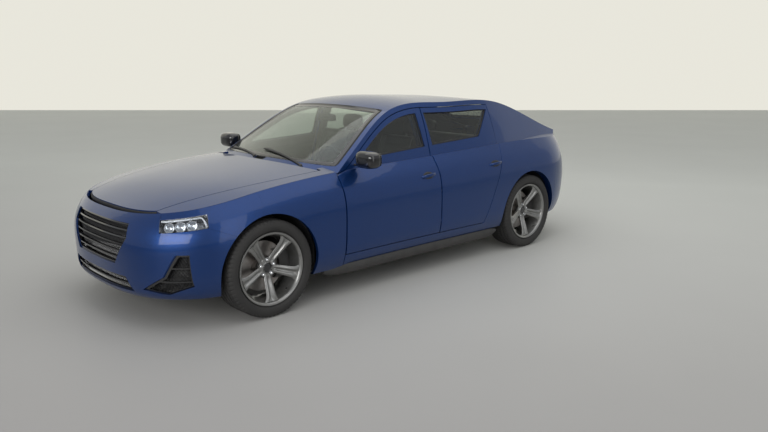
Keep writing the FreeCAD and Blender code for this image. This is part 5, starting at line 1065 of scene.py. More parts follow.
corners = [(place, side) for place in ("front", "rear") for side in ("left", "right")]
wheel_centres = {(place, side): np.array([wheel_x * (1 if side == "left" else -1),
                                          front_axle_y if place == "front" else rear_axle_y, axle_height])
                 for place, side in corners}
tyre_at_centre = tyre_shape((0, 0, 0))
for place, side in corners:
    tyre = make_piece(f"tread_tyre_{place}_{side}", moved(tyre_at_centre, wheel_centres[place, side]),
                      tyre_rubber,
                      f"wheel_{place}_{side}", 50.0)
    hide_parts(f"tyre_{place}_{side}")
print("a tyre has", len(tyre_at_centre[1]), "faces")


# %% [markdown]
# The rim is built the way it is cast: a barrel with its two lips, a hub, and five broad spokes that dish
# from the hub out to the lip. A channel runs down the face of each spoke and splits it into two ribs. One
# spoke points straight down, as in the photograph. Bolts, a plain centre cap and a valve finish it.

# %% Rims
SPOKES = 5
SPOKE_ROWS = 26
HUB_RADIUS = 0.072


def spoke_shape(turn):
    """One spoke, as sections across it from the hub to the barrel, turned by turn round the axle.

    At share s of the way out and c across (-1 to 1), the face lies at dish(s) - round(c) - channel(s, c),
    the half width is w(s), and the back lies a wall's thickness behind."""
    s = np.linspace(0, 1, SPOKE_ROWS)[:, None]
    c = np.linspace(-1, 1, 21)[None, :]
    radius = 0.040 + (0.2290 - 0.040) * s
    width = 0.0265 + 0.004 * np.sin(s * math.pi) + 0.012 * s**2 + 0.020 * s**9
    dish = 0.050 + 0.046 * (s * s * (3 - 2 * s)) ** 0.8
    swell = np.clip(s / 0.25, 0, 1) * np.clip((1.02 - s) / 0.12, 0, 1)
    channel = 0.013 * swell * np.clip(1 - (c / 0.42) ** 2, 0, 1) ** 0.8
    face = dish - 0.007 * np.abs(c) ** 5 - channel
    back_c = np.linspace(1, -1, 9)[None, 1:-1]
    wall = 0.036 - 0.012 * s
    back = np.broadcast_to(dish - wall, (SPOKE_ROWS, back_c.shape[1])) - 0.002 * (1 - back_c**2)
    x = np.concatenate([face, back], axis=1)
    wide = np.concatenate([c * width, back_c * width * 0.86], axis=1)
    out = np.broadcast_to(radius, wide.shape)
    spoke = grid(np.stack([x, out, wide], axis=-1), wrap_columns=True, ends=True)
    return turned_out(turned_by(spoke, turn))


# Profiles as (along the axle, out from it), in metres
COLLAR_PROFILE = [(0.036, 0.0), (0.036, 0.0125), (0.046, 0.0125), (0.047, 0.0115), (0.047, 0.0)]
BOLT_PROFILE = [(0.046, 0.0), (0.046, 0.0095), (0.0555, 0.0095), (0.0575, 0.0075), (0.0575, 0.0)]
BOLT_CIRCLE = 0.0545
BARREL_PROFILE = [
    (-0.110, 0.236), (-0.1098, 0.2535), (-0.107, 0.2556), (-0.103, 0.2552), (-0.1006, 0.2475),
            (-0.097, 0.2431),
    (-0.078, 0.2425), (-0.064, 0.233), (-0.040, 0.2215), (0.020, 0.2215), (0.048, 0.233), (0.070, 0.2425),
    (0.097, 0.2431), (0.1006, 0.2475), (0.103, 0.2552), (0.107, 0.2556), (0.1098, 0.2535), (0.1098, 0.247),
    (0.105, 0.240), (0.098, 0.2345), (0.090, 0.2315), (0.062, 0.2250), (0.030, 0.2135), (-0.042, 0.2135),
    (-0.070, 0.2250), (-0.088, 0.2315), (-0.102, 0.2340)]
HUB_PROFILE = [
    (0.020, 0.034), (0.020, 0.060), (0.028, 0.073), (0.040, HUB_RADIUS + 0.002), (0.048, HUB_RADIUS - 0.002),
    (0.0505, HUB_RADIUS - 0.007), (0.0485, 0.064), (0.0445, 0.0605), (0.0445, 0.040), (0.049, 0.0365),
    (0.0505, 0.034), (0.046, 0.0315), (0.032, 0.0315)]
CAP_PROFILE = [(0.034, 0.0), (0.034, 0.0308), (0.047, 0.0308), (0.0492, 0.0285), (0.0478, 0.0255),
               (0.0482, 0.024),
               (0.0502, 0.014), (0.0508, 0.0)]
VALVE_LINE = [(0.084, 0.205, 0.0), (0.098, 0.203, 0.0), (0.104, 0.196, 0.0), (0.107, 0.188, 0.0)]


def bolt_shape(turn):
    """A six-sided bolt head with a round collar, in the hub's face."""
    centre = (0, BOLT_CIRCLE * math.cos(turn), BOLT_CIRCLE * math.sin(turn))
    collar, head = turned(COLLAR_PROFILE, 20, centre, False), turned(BOLT_PROFILE, 6, centre, False)
    return gathered([turned_out(collar), turned_out(head)])


def turned_by(shape, turn):
    """The shape turned by an angle about the axle."""
    x, y, z = shape[0].T
    c, s = math.cos(turn), math.sin(turn)
    return np.stack([x, y * c - z * s, y * s + z * c], axis=-1), shape[1]


def rim_shape():
    """Barrel, hub and spokes as one shape, with the first spoke straight down."""
    shapes = [turned_out(turned(BARREL_PROFILE, 160, (0, 0, 0))),
              turned_out(turned(HUB_PROFILE, 80, (0, 0, 0)))]
    return gathered(shapes + [spoke_shape(k * 2 * math.pi / SPOKES - math.pi / 2) for k in range(SPOKES)])


def valve_shape():
    """The rubber stem of the valve, half way between two spokes."""
    stem = carried(spline(VALVE_LINE, 10), circle(0.0035, 10), up=(0, 0, 1))
    return turned_out(turned_by(stem, math.pi / SPOKES - math.pi / 2))


rim_at_centre, valve_at_centre = rim_shape(), valve_shape()
bolts_at_centre = gathered([bolt_shape(math.pi / 2 + k * 2 * math.pi / SPOKES) for k in range(SPOKES)])
cap_at_centre = turned_out(turned(CAP_PROFILE, 64, (0, 0, 0), False))
for place, side in corners:
    flip = mirrored if side == "right" else same
    centre = wheel_centres[place, side]
    body = f"wheel_{place}_{side}"
    rim = make_piece(f"cast_rim_{place}_{side}", moved(flip(rim_at_centre), centre), rim_silver, body,
                     35.0)
    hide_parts(f"rim_{place}_{side}")
    make_piece(f"wheel_bolts_{place}_{side}", moved(flip(bolts_at_centre), centre), chrome, body)
    make_piece(f"hub_cap_{place}_{side}", moved(flip(cap_at_centre), centre), trim_gloss, body,
               30.0)
    make_piece(f"valve_{place}_{side}", moved(flip(valve_at_centre), centre), rubber, body)
print("a rim has", len(rim_at_centre[1]), "faces")


# %% [markdown]
# A lamp is a clear cover over a bowl with things in it. The cover is the outer wall of the solid lamp, made
# thin, and the bowl is its other walls. Inside go three round projectors with their own lenses and a light
# strip along the top edge. Places inside the lamp are shares of its length and height.

# %% Lamps: cover, bowl and what they hold
def welded(triangles, weld=2e-5):
    """Loose triangles as one shape, whose corners at the same place are one point."""
    keys = np.round(triangles.reshape(-1, 3) / weld).astype(np.int64)
    _, first, number = np.unique(keys, axis=0, return_index=True, return_inverse=True)
    faces = number.reshape(-1, 3)
    fine = (faces[:, 0] != faces[:, 1]) & (faces[:, 1] != faces[:, 2]) & (faces[:, 0] != faces[:, 2])
    return triangles.reshape(-1, 3)[first], faces[fine].tolist()


def one_side(triangles, side):
    """The triangles on the left (1) or the right (-1) of the car."""
    return triangles[triangles[:, :, 0].mean(axis=1) * side > 0]


def thickened(piece, wall, offset=-1.0):
    modifier = piece.modifiers.new("wall", "SOLIDIFY")
    modifier.thickness = wall
    modifier.offset = offset
    return piece


class LampFace:
    """The outer wall of one lamp, with places on it given as shares along it and up it."""

    def __init__(self, triangles, rough_direction):
        normals = triangle_normals(triangles)
        self.outer = triangles[normals @ unit(np.asarray(rough_direction, float)) > 0.25]
        self.direction = unit(triangle_normals(self.outer).mean(axis=0))
        self.rest = triangles[normals @ unit(np.asarray(rough_direction, float)) <= 0.25]
        right, up, _ = basis(self.direction)
        loop = outlines(triangles, rough_direction, 0.25)[0]
        self.along, self.rise = loop @ right, loop @ up
        self.low, self.high = self.along.min(), self.along.max()

    def spots(self, along_shares, up_shares):
        """(right, up) of places: at each share along, the rise between the outline's lower and upper edge."""
        a = self.low + (self.high - self.low) * np.asarray(along_shares, float)
        ring = np.concatenate([self.along, self.along[:1]]), np.concatenate([self.rise, self.rise[:1]])
        a0, a1 = ring[0][:-1], ring[0][1:]
        r0, r1 = ring[1][:-1], ring[1][1:]
        crosses = (a0 - a[:, None]) * (a1 - a[:, None]) <= 0
        share = np.clip((a[:, None] - a0) / np.where(np.abs(a1 - a0) < 1e-9, 1e-9, a1 - a0), 0, 1)
        rise = r0 + (r1 - r0) * share
        low = np.where(crosses, rise, np.inf).min(axis=1)
        high = np.where(crosses, rise, -np.inf).max(axis=1)
        return np.stack([a, low + (high - low) * np.asarray(up_shares, float)], axis=-1), high - low

    def places(self, along_shares, up_shares, sunk):
        spots, tall = self.spots(along_shares, up_shares)
        return laid_on(self.outer, spots, self.direction) - self.direction * sunk, tall


def facing_disc(profile, count, centre, direction, hollow=False):
    """A profile of (along, out) turned round an axis that points along direction through centre.

    A profile that starts and ends on the axis gives a solid form. A hollow one is a closed loop off it."""
    points, faces = turned(profile, count, (0, 0, 0), hollow)
    right, up, out = basis(direction)
    placed = points[:, :1] * out + points[:, 1:2] * right + points[:, 2:3] * up
    return turned_out((placed + np.asarray(centre, float), faces))


headlamp_triangles = node_triangles("headlamps")
tail_triangles = node_triangles("tail_lamps")
left_head = LampFace(one_side(headlamp_triangles, 1), (0.62, -0.78, 0.05))
left_tail = LampFace(one_side(tail_triangles, 1), (0.55, 0.83, 0.1))
print("headlamp looks along", left_head.direction.round(2), "tail lamp along", left_tail.direction.round(2))


def both_sides(shape):
    return gathered([shape, mirrored(shape)])


head_cover = make_piece("headlamp_covers", both_sides(welded(left_head.outer)), lens_clear, "body",
                        60.0)
thickened(head_cover, 0.003)
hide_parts("headlamps")
head_bowl = make_piece("headlamp_bowls", both_sides(welded(left_head.rest)), lamp_bowl, "body",
                       35.0)
thickened(head_bowl, 0.002, 1.0)

tail_cover = make_piece("tail_lamp_covers", both_sides(welded(left_tail.outer)), lens_red, "body",
                        60.0)
thickened(tail_cover, 0.003)
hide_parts("tail_lamps")
tail_bowl = make_piece("tail_lamp_bowls", both_sides(welded(left_tail.rest)), trim, "body", 35.0)
thickened(tail_bowl, 0.002, 1.0)


# %% [markdown]
# A headlamp has three projectors: a bright ring round a deep reflector, with a domed lens in front, each as
# large as the lamp's height allows. A white day strip runs along the top edge and turns down at its outer
# end, and a dark shelf lies under the projectors.

# %% Inside the headlamps
projector_rings, projector_lenses = [], []
PROJECTOR_SHARES = (0.20, 0.43, 0.66)
spots, heights = left_head.places(PROJECTOR_SHARES, (0.44, 0.44, 0.44), 0.016)
for spot, tall in zip(spots, heights):
    r = tall * 0.33
    ring = [(-0.030, 0.0), (-0.030, r * 0.7), (-0.004, r * 1.02), (0.0, r * 1.08), (0.003, r * 1.02),
            (0.002, r * 0.94), (-0.006, r * 0.86), (-0.016, r * 0.60), (-0.024, r * 0.30), (-0.026, 0.0)]
    projector_rings.append(facing_disc(ring, 40, spot, left_head.direction))
    dome = [(-0.008, 0.0), (-0.008, r * 0.80), (-0.006, r * 0.84), (-0.001, r * 0.72), (0.004, r * 0.44),
            (0.006, 0.0)]
    projector_lenses.append(facing_disc(dome, 40, spot, left_head.direction))
make_piece("projector_rings", both_sides(gathered(projector_rings)), chrome, "body")
make_piece("projector_lenses", both_sides(gathered(projector_lenses)), lens_clear, "body", 60.0)

ends = np.linspace(0.03, 0.95, 40)
strip_up = 0.86 - 0.66 * np.clip((ends - 0.84) / 0.11, 0, 1) ** 2
strip_path, _ = left_head.places(ends, strip_up, 0.011)
strip = swept(softened(strip_path, 4, False), circle(0.0045, 10), up=left_head.direction)
make_piece("day_strips", both_sides(strip), lamp_white, "body", 60.0)
shelf_path, _ = left_head.places(np.linspace(0.02, 0.93, 30), np.full(30, 0.10), 0.020)
shelf = swept(shelf_path, np.array([(-0.004, -0.012), (0.004, -0.012), (0.003, 0.010), (-0.003, 0.010)]),
                           up=left_head.direction)
make_piece("lamp_shelves", both_sides(shelf), trim_gloss, "body")


# %% [markdown]
# A tail lamp is red glass over three round light guides that run along it, in front of upright ribs.

# %% Inside the tail lamps
guides = []
for up_share in (0.24, 0.50, 0.76):
    line, _ = left_tail.places(np.linspace(0.06, 0.94, 36), np.full(36, up_share), 0.012)
    guides.append(swept(softened(line, 2, False), circle(0.0055, 10), up=left_tail.direction))
make_piece("tail_light_guides", both_sides(gathered(guides)), lens_red, "body", 60.0)
ribs = []
for along_share in np.linspace(0.08, 0.92, 17):
    line, _ = left_tail.places(np.full(8, along_share) + np.linspace(0, 1e-4, 8),
            np.linspace(0.08, 0.92, 8), 0.024)
    ribs.append(swept(line,
                      np.array([(-0.0015, -0.006), (0.0015, -0.006), (0.0015, 0.006), (-0.0015, 0.006)]),
                                   up=left_tail.direction))
make_piece("tail_lamp_ribs", both_sides(gathered(ribs)), lamp_bowl, "body")


# %% [markdown]
# Rubber runs round every pane, and the windscreen and rear glass have a black printed border. Both follow
# the panes' own outlines, read from the solid model, so they sit on the joint between glass and metal.

# %% Seals and printed borders round the glass
def strip_section(width, height, count=10):
    """A flat oval: |x / w|^3 + |y / h|^3 = 1."""
    angle = ring_of(count)
    x = rounded(np.cos(angle), 2 / 3) * width / 2
    y = rounded(np.sin(angle), 2 / 3) * height / 2
    return np.stack([x, y], axis=-1)


def outward_along(line, direction, reach, triangles):
    """The line with each point moved along the panel's own normal there, found from the nearest face."""
    normals = triangle_normals(triangles)
    facing = normals @ unit(np.asarray(direction, float)) > 0.2
    middles, ways = triangles[facing].mean(axis=1), normals[facing]
    apart = np.linalg.norm(line[:, None, :] - middles[None, :, :], axis=-1)
    return line + ways[apart.argmin(axis=1)] * reach, ways[apart.argmin(axis=1)]


def seal_round(node, direction, width, height, spacing=0.02, lift=0.001):
    """A closed rubber strip on the outline of a pane's outer face."""
    triangles = node_triangles(node)
    loop = softened(evenly_spaced(outlines(triangles, direction)[0], spacing), 2)
    line, ways = outward_along(loop, direction, lift, triangles)
    return carried(line, strip_section(width, height), up=softened(ways, 4), closed=True)


def border_round(node, direction, width, spacing=0.02, lift=0.0008):
    """The printed border: a ribbon from the pane's outline inwards, lying on the glass."""
    triangles = node_triangles(node)
    right, up, _ = basis(direction)
    loop = softened(evenly_spaced(outlines(triangles, direction)[0], spacing), 3)
    flat = np.stack([loop @ right, loop @ up], axis=-1)
    travel = unit(np.roll(flat, -1, axis=0) - np.roll(flat, 1, axis=0))
    inward = np.stack([-travel[:, 1], travel[:, 0]], axis=-1)
    middle = flat.mean(axis=0)
    if np.sum(inward * (middle - flat)) < 0:
        inward = -inward
    shares = np.array([0.0, 0.35, 0.7, 1.0])
    spots = flat[None, :, :] + inward[None, :, :] * (shares * width)[:, None, None]
    points = laid_on(triangles, spots, direction)
    points = points + grid_normals(points, direction) * lift
    return walled(grid(points, wrap_columns=True), direction)


left_out = (1.0, 0.0, 0.25)
for place in ("front", "rear"):
    seal = seal_round(f"glass_{place}_left", left_out, 0.016, 0.009)
    border = border_round(f"glass_{place}_left", left_out, 0.012)
    on_both_doors("window_seal", place, turned_out(seal), rubber)
    on_both_doors("window_border", place, border, trim_gloss)
screen_way, rear_way = (0.0, -0.75, 0.66), (0.0, 0.35, 0.94)
make_piece("windscreen_seal", turned_out(seal_round("windshield", screen_way, 0.018, 0.008)), rubber,
           "body")
make_piece("windscreen_border", border_round("windshield", screen_way, 0.045), trim_gloss, "body")
make_piece("rear_glass_seal", turned_out(seal_round("tailgate_glass", rear_way, 0.018, 0.008)), rubber,
           "tailgate")
make_piece("rear_glass_border", border_round("tailgate_glass", rear_way, 0.05), trim_gloss, "tailgate")


# %% [markdown]
# The nose carries most of the small parts. Behind the bars of each grille lies a black sheet with a woven
# wire mesh in front of it. The sheet is painted shade: it stands in for the dark depth behind the grille, so
# that nothing of the engine bay shines through. A black rubber strip under the hood's front edge is painted
# shade too, for the shadow in the gap there, and a dark sill strip runs between the wheels.

# %% Grille mesh, shade sheets, hood gap shadow strip and sill strips
grille_triangles = node_triangles("grille")
NOSE_WAY = (0.0, -1.0, 0.0)


def sheet_behind(triangles, way, sunk, rows, columns):
    """A sheet over the bounds of some faces, lying sunk behind the outermost of them."""
    right, up, out = basis(way)
    a, b = triangles @ right, triangles @ up
    spots = np.stack(np.meshgrid(np.linspace(a.min(), a.max(), columns),
            np.linspace(b.min(), b.max(), rows)), axis=-1)
    return laid_on(triangles, spots, way) - out * sunk


def parts_apart(triangles, weld=2e-5):
    """Groups of triangles that hang together, each as its own array."""
    points, faces = welded(triangles, weld)
    owner = np.arange(len(points))
    faces = np.array(faces)
    for _ in range(60):
        low = owner[faces].min(axis=1)
        before = owner.copy()
        for k in range(3):
            np.minimum.at(owner, faces[:, k], low)
        owner = owner[owner]
        if (owner == before).all():
            break
    key = owner[faces[:, 0]]
    return [points[faces[key == k]] for k in np.unique(key)]


# Painted shade: the black sheets behind the grilles stand in for the dark depth behind them
mesh_wires, shade_sheets = [], []
for part in parts_apart(grille_triangles):
    if part[:, :, 0].mean() < -0.3:
        continue
    centred = abs(part[:, :, 0].mean()) < 0.3
    way = NOSE_WAY if centred else (0.45, -0.89, 0.0)
    shade_sheet_points = sheet_behind(part, way, 0.055, 10, 40 if centred else 16)
    shade_sheets.append(walled(grid(shade_sheet_points), way))
    right, up, out = basis(way)
    a, b = part @ right, part @ up
    a0, a1, b0, b1 = a.min() + 0.01, a.max() - 0.01, b.min() + 0.01, b.max() - 0.01
    tall = b1 - b0
    pitch = 0.020
    for lean in (0.6, -0.6):
        for start in np.arange(a0 - abs(lean) * tall, a1 + abs(lean) * tall, pitch):
            rise = np.linspace(0, 1, 14)
            across = start + lean * tall * rise
            good = (across > a0) & (across < a1)
            if good.sum() < 3:
                continue
            spots = np.stack([across[good], b0 + tall * rise[good]], axis=-1)
            line = laid_on(part, spots, way) - out * 0.034
            if np.isfinite(line).all():
                mesh_wires.append(swept(softened(line, 2, False), circle(0.0016, 4), up=out))
for name, shapes, finish in (("grille_mesh", mesh_wires, trim_gloss),
        ("grille_shade_sheet", shade_sheets, trim_rough)):
    side_part = [s for s in shapes if s[0][:, 0].mean() > 0.3]
    whole = gathered(shapes + [mirrored(s) for s in side_part])
    make_piece(name, whole, finish, "body")
print("mesh wires", len(mesh_wires))


def front_part(line, limit):
    """The longest run of a closed line's points whose y is under the limit."""
    inside = line[:, 1] < limit
    start = int(np.argmax(~inside))
    turned_line, turned_inside = np.roll(line, -start, axis=0), np.roll(inside, -start)
    best, run = [], []
    for point, keep in zip(turned_line, turned_inside):
        run = run + [point] if keep else []
        best = run if len(run) > len(best) else best
    return np.array(best)


# Painted shade: a black rubber strip 20 mm under the hood's front edge stands in for the shadow in the gap
# between hood and bumper
hood_triangles = node_triangles("hood")
hood_edge = evenly_spaced(outlines(hood_triangles, (0, 0, 1), 0.3)[0], 0.02)
gap_shadow_line = softened(front_part(hood_edge, float(hood_edge[:, 1].min()) + 0.55), 3, False)
gap_shadow_line = gap_shadow_line + np.array([0.0, -0.004, -0.020])
make_piece("hood_gap_shadow_strip", swept(gap_shadow_line, strip_section(0.016, 0.026, 12)), rubber, "body")

shell_triangles = node_triangles("body_shell")
sill_y = np.linspace(front_axle_y + 0.47, rear_axle_y - 0.44, 60)
low_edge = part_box("body_shell")[0].z


SILL_SECTION = np.array([
    (-0.008, 0.024), (0.004, 0.020), (0.010, 0.004), (0.009, -0.020), (-0.002, -0.052), (-0.018, -0.060),
    (-0.060, -0.058), (-0.075, -0.040), (-0.075, -0.006), (-0.030, -0.006), (-0.012, 0.004)])


def sill_strip():
    """A dark strip under the sill: its outer face leans in and its ends taper towards the wheels."""
    places = laid_at(one_side(shell_triangles, 1), sill_y, low_edge + 0.030, LEFT)
    outer = softened(places, 6, False)[:, 0]
    taper = np.clip((sill_y - sill_y[0]) / 0.10, 0, 1) * np.clip((sill_y[-1] - sill_y) / 0.10, 0, 1)
    taper = 0.35 + 0.65 * taper ** 0.5
    x = outer[:, None] + SILL_SECTION[None, :, 0]
    y = np.broadcast_to(sill_y[:, None], x.shape)
    z = low_edge + SILL_SECTION[None, :, 1] * taper[:, None]
    return turned_out(grid(np.stack([x, y, z], axis=-1), wrap_columns=True, ends=True))


make_piece("sill_strips", both_sides(sill_strip()), trim_rough, "body", 50.0)


# %% [markdown]
# Door handles are the pull type: a bar that stands clear of the skin and curves back into it at both ends,
# over a shallow dark cup, which is painted shade: it stands in for the shaded recess behind the bar.

# %% Door handles
def handle_shapes(triangles, y0, y1, z):
    """(bar, cup) of a pull handle from y0 to y1 on the left doors' skin; the cup is a dark disc of painted
    shade for the recess behind the bar.
    """
    y = np.linspace(y0, y1, 30)
    skin = softened(laid_at(triangles, y, z + 0.006 * np.linspace(-1, 1, 30), LEFT), 2, False)
    t = np.linspace(0, 1, 30)
    stand = 0.034 * np.clip(np.sin(t * math.pi), 0, 1) ** 0.42 - 0.006
    line = skin + stand[:, None] * unit(np.array([1.0, 0.0, 0.18]))
    size = 0.72 + 0.28 * np.sin(t * math.pi) ** 0.5
    bar = swept(softened(line, 1, False), strip_section(0.012, 0.026, 14), up=(0, 0, 1), scale=size)
    middle = (y0 + y1) / 2
    # Painted shade: a dark disc, a few millimetres proud of the skin, stands in for the shaded recess behind
    # the bar
    radial, around = np.linspace(0.02, 1, 10)[:, None], ring_of(40)[None, :]
    shade_cup_y = middle + 0.058 * radial * np.cos(around)
    shade_cup_z = z + 0.027 * radial * np.sin(around)
    shade_cup = laid_at(triangles, shade_cup_y, shade_cup_z, LEFT)
    shade_cup = shade_cup + np.array([1.0, 0, 0]) * (0.0025 * np.cos(radial * math.pi / 2) ** 0.3 + 0.0006)[..., None]
    return bar, walled(disc(shade_cup), LEFT)


for place, limits, z in (("front", (-0.055, 0.095), 0.815), ("rear", (0.775, 0.925), 0.835)):
    triangles = node_triangles(f"door_{place}_left")
    bar, shade_cup = handle_shapes(triangles, *limits, z)
    on_both_doors("door_handle", place, bar, paint, 60.0)
    on_both_doors("handle_shade_cup", place, shade_cup, trim, 60.0)


# %% [markdown]
# The pocket of each door hinge comes very close to the door's skin. A thin painted patch goes over it: it
# joins the skin under the pocket to the skin over it with straight lines.

# %% Skin over the hinges
HINGE_REACH = 0.026


def skin_over_hinge(triangles, y0, y1, z):
    """A patch of door skin over a hinge: rows blended in a straight line from below the hinge to above it."""
    y = np.linspace(y0, y1, 12)
    rows = [laid_at(triangles, y, z + rise, LEFT) for rise in (-HINGE_REACH, HINGE_REACH)]
    share = np.linspace(0, 1, 7)[:, None, None]
    return walled(grid(rows[0] * (1 - share) + rows[1] * share + np.array([0.0007, 0.0, 0.0])), LEFT)


for place, y0, y1 in (("front", -0.871, -0.792), ("rear", 0.158, 0.230)):
    triangles = node_triangles(f"door_{place}_left")
    patches = gathered([skin_over_hinge(triangles, y0, y1, z) for z in (0.440, 0.690)])
    on_both_doors("hinge_skin", place, patches, paint)


# %% [markdown]
# The door mirrors are soft gloss black shells that narrow forwards, on a flat foot, with glass facing back.

# %% Door mirrors
def mirror_shapes():
    """(shell, glass) of the left mirror, in its solid's space: a soft shell that narrows forwards."""
    low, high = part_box("mirror_left")
    inner = float(low.x) + 0.068
    low_z = float(high.z) - 0.128
    centre = np.array([(inner + high.x) / 2, (low.y + high.y) / 2, (low_z + high.z) / 2])
    half = np.array([(high.x - inner) / 2, (high.y - low.y) / 2, (high.z - low_z) / 2])
    points, faces = soft_block((0, 0, 0), (1, 1, 1), 4.0, 64, 33)
    points = points[:, [0, 2, 1]]
    ahead = np.clip(-points[:, 1], 0, 1)
    narrow = 1 - 0.16 * ahead ** 2
    outer_drop = 1 - 0.10 * np.clip(points[:, 0], 0, 1) ** 2
    points = points * np.stack([narrow, np.ones_like(narrow), narrow * outer_drop], axis=-1)
    shell = turned_out((points * half + centre, faces))
    foot_line = spline([(float(low.x) + 0.030, centre[1] + 0.006, low_z + 0.016),
                        (inner - 0.004, centre[1] + 0.006, low_z + 0.018),
                        (inner + 0.04, centre[1], low_z + 0.030)], 14)
    foot = swept(foot_line, strip_section(0.050, 0.020, 16), up=(0, 0, 1))
    angle = ring_of(64)[None, :]
    radial = np.linspace(0.05, 1.0, 12)[:, None]
    gx = rounded(np.cos(angle), 0.5) * radial * 0.86
    gz = rounded(np.sin(angle), 0.5) * radial * 0.82
    glass = np.stack([gx * half[0] + centre[0], np.full_like(gx, high.y + 0.0015),
                      gz * half[2] * (1 - 0.06 * gx) + centre[2]], axis=-1)
    return gathered([shell, foot]), walled(disc(glass), BACKWARDS)


mirror_shell, mirror_glass_shape = mirror_shapes()
for side, flip in (("left", same), ("right", mirrored)):
    shell_piece = make_piece(f"mirror_shell_{side}", flip(mirror_shell), trim_gloss, f"door_front_{side}",
            60.0)
    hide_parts(f"mirror_{side}")
    make_piece(f"mirror_glass_{side}", flip(mirror_glass_shape), mirror_face, f"door_front_{side}",
               60.0)


# %% [markdown]
# The fuel flap is on the right rear haunch, a rounded square with a thin dark seam round it. The exhaust
# ends in two bright tips, turned to fit the pipes of the solid model.

# %% Fuel flap and exhaust tips
def rounded_square(half_y, half_z, power=5.0, count=64):
    """The superellipse |y / half_y|^power + |z / half_z|^power = 1."""
    angle = ring_of(count)
    y = rounded(np.cos(angle), 2 / power) * half_y
    z = rounded(np.sin(angle), 2 / power) * half_z
    return np.stack([y, z], axis=-1)


flap_edge = rounded_square(0.082, 0.082)
right_side = one_side(shell_triangles, -1)
flap_right, _, flap_out = basis(RIGHT)
flap_middle = np.array([(rear_axle_y + 0.03) * flap_right[1], 0.885])
flap_line = laid_on(right_side, flap_middle + flap_edge, RIGHT)
make_piece("fuel_flap_seam", swept(flap_line, circle(0.0016, 6), up=flap_out, closed=True), rubber, "body")
shares = np.linspace(0.02, 0.985, 9)[:, None, None]
flap_points = laid_on(right_side, flap_middle + flap_edge[None] * shares, RIGHT) + np.array([-0.0012, 0, 0])
make_piece("fuel_flap", walled(disc(flap_points), RIGHT), paint, "body", 60.0)

pipe_triangles = one_side(node_triangles("exhaust"), 1)
pipe_end = float(pipe_triangles[:, :, 1].max())
ends_here = pipe_triangles[np.abs(pipe_triangles[:, :, 1] - pipe_end).max(axis=1) < 0.004]
pipe_centre = (ends_here.reshape(-1, 3).min(axis=0) + ends_here.reshape(-1, 3).max(axis=0)) / 2
pipe_radius = float(np.ptp(ends_here[:, :, 0])) / 2
# The tip's wall as (along the pipe, share of the pipe's radius)
TIP_PROFILE = np.array([(-0.070, 1.01), (-0.066, 1.10), (0.006, 1.16), (0.011, 1.18), (0.013, 1.14),
                        (0.010, 1.06),
                        (-0.050, 1.015)])
tip = facing_disc(TIP_PROFILE * (1.0, pipe_radius), 48, pipe_centre, BACKWARDS, True)
make_piece("exhaust_tips", both_sides(tip), chrome, "body", 50.0)
print("exhaust ends at", pipe_centre.round(3), "radius", round(pipe_radius, 4))


# %% [markdown]
# The seats are upholstered. A cushion is a rounded pad whose top is crowned, with channels stitched across
# it and raised bolsters at both sides. The height of a point is the crown plus the bolster less the channel,
# as functions of how far across and along the pad it lies. The backs are the same pads, leant back.

# %% Upholstered seats
def pad(width, length, thick, channels=5, bolster=0.045, crown=0.018, columns=56, rows=44):
    """A padded slab lying flat: x across, y along, z up from its underside, with its top side modelled.

    At (u, v), each from -1 to 1, the top lies at thick + crown (1 - u^2)(1 - v^2) + bolster(|u|), less a
    channel where |sin| of v comes near 0 and a seam at |u| = 0.7. Towards the edges it rounds off as the
    square root of the distance from them."""
    u = np.linspace(-1, 1, columns)[None, :]
    v = np.linspace(-1, 1, rows)[:, None]
    centre = np.clip(1 - np.abs(u / 0.66) ** 10, 0, 1)
    lane = np.abs(np.sin((v + 1) / 2 * math.pi * channels))
    groove = np.clip(1 - lane / 0.22, 0, 1) ** 1.5 * 0.010 * centre
    side_seam = np.exp(-((np.abs(u) - 0.70) / 0.025) ** 2) * 0.010
    lift = bolster * np.clip((np.abs(u) - 0.62) / 0.30, 0, 1) ** 1.4
    edge_u = np.clip((1 - np.abs(u)) / 0.14, 0, 1) ** 0.5
    edge_v = np.clip((1 - np.abs(v)) / 0.10, 0, 1) ** 0.5
    rounded = edge_u * edge_v
    top = thick * 0.5 + rounded * (thick * 0.5 + crown * (1 - u**2) * (1 - v**2) + lift - groove - side_seam)
    low = thick * 0.5 * (1 - rounded)
    swell = 1 - 0.012 * (1 - v**2)
    x = u * width / 2 * swell
    y = np.broadcast_to(v * length / 2, x.shape)
    upper = np.stack([x, y, np.broadcast_to(top, x.shape)], axis=-1)
    lower = np.stack([x, y, np.broadcast_to(low, x.shape)], axis=-1)
    closed = np.concatenate([upper, lower[:, ::-1]], axis=1)
    return turned_out(grid(closed, wrap_columns=True, ends=True))


def leant(shape, degrees, place):
    """The shape turned about the X axis by some degrees and put at a place."""
    a = math.radians(degrees)
    turn = np.array([[1, 0, 0], [0, math.cos(a), -math.sin(a)], [0, math.sin(a), math.cos(a)]])
    return shape[0] @ turn.T + np.asarray(place, float), shape[1]


SEAT_X, SEAT_HALF = 0.410, 0.230
SEAT_FRONT, SEAT_DEPTH = -0.465, 0.520
SEAT_TOP, BACK_TOP, BACK_LEAN = 0.500, 1.085, 0.230


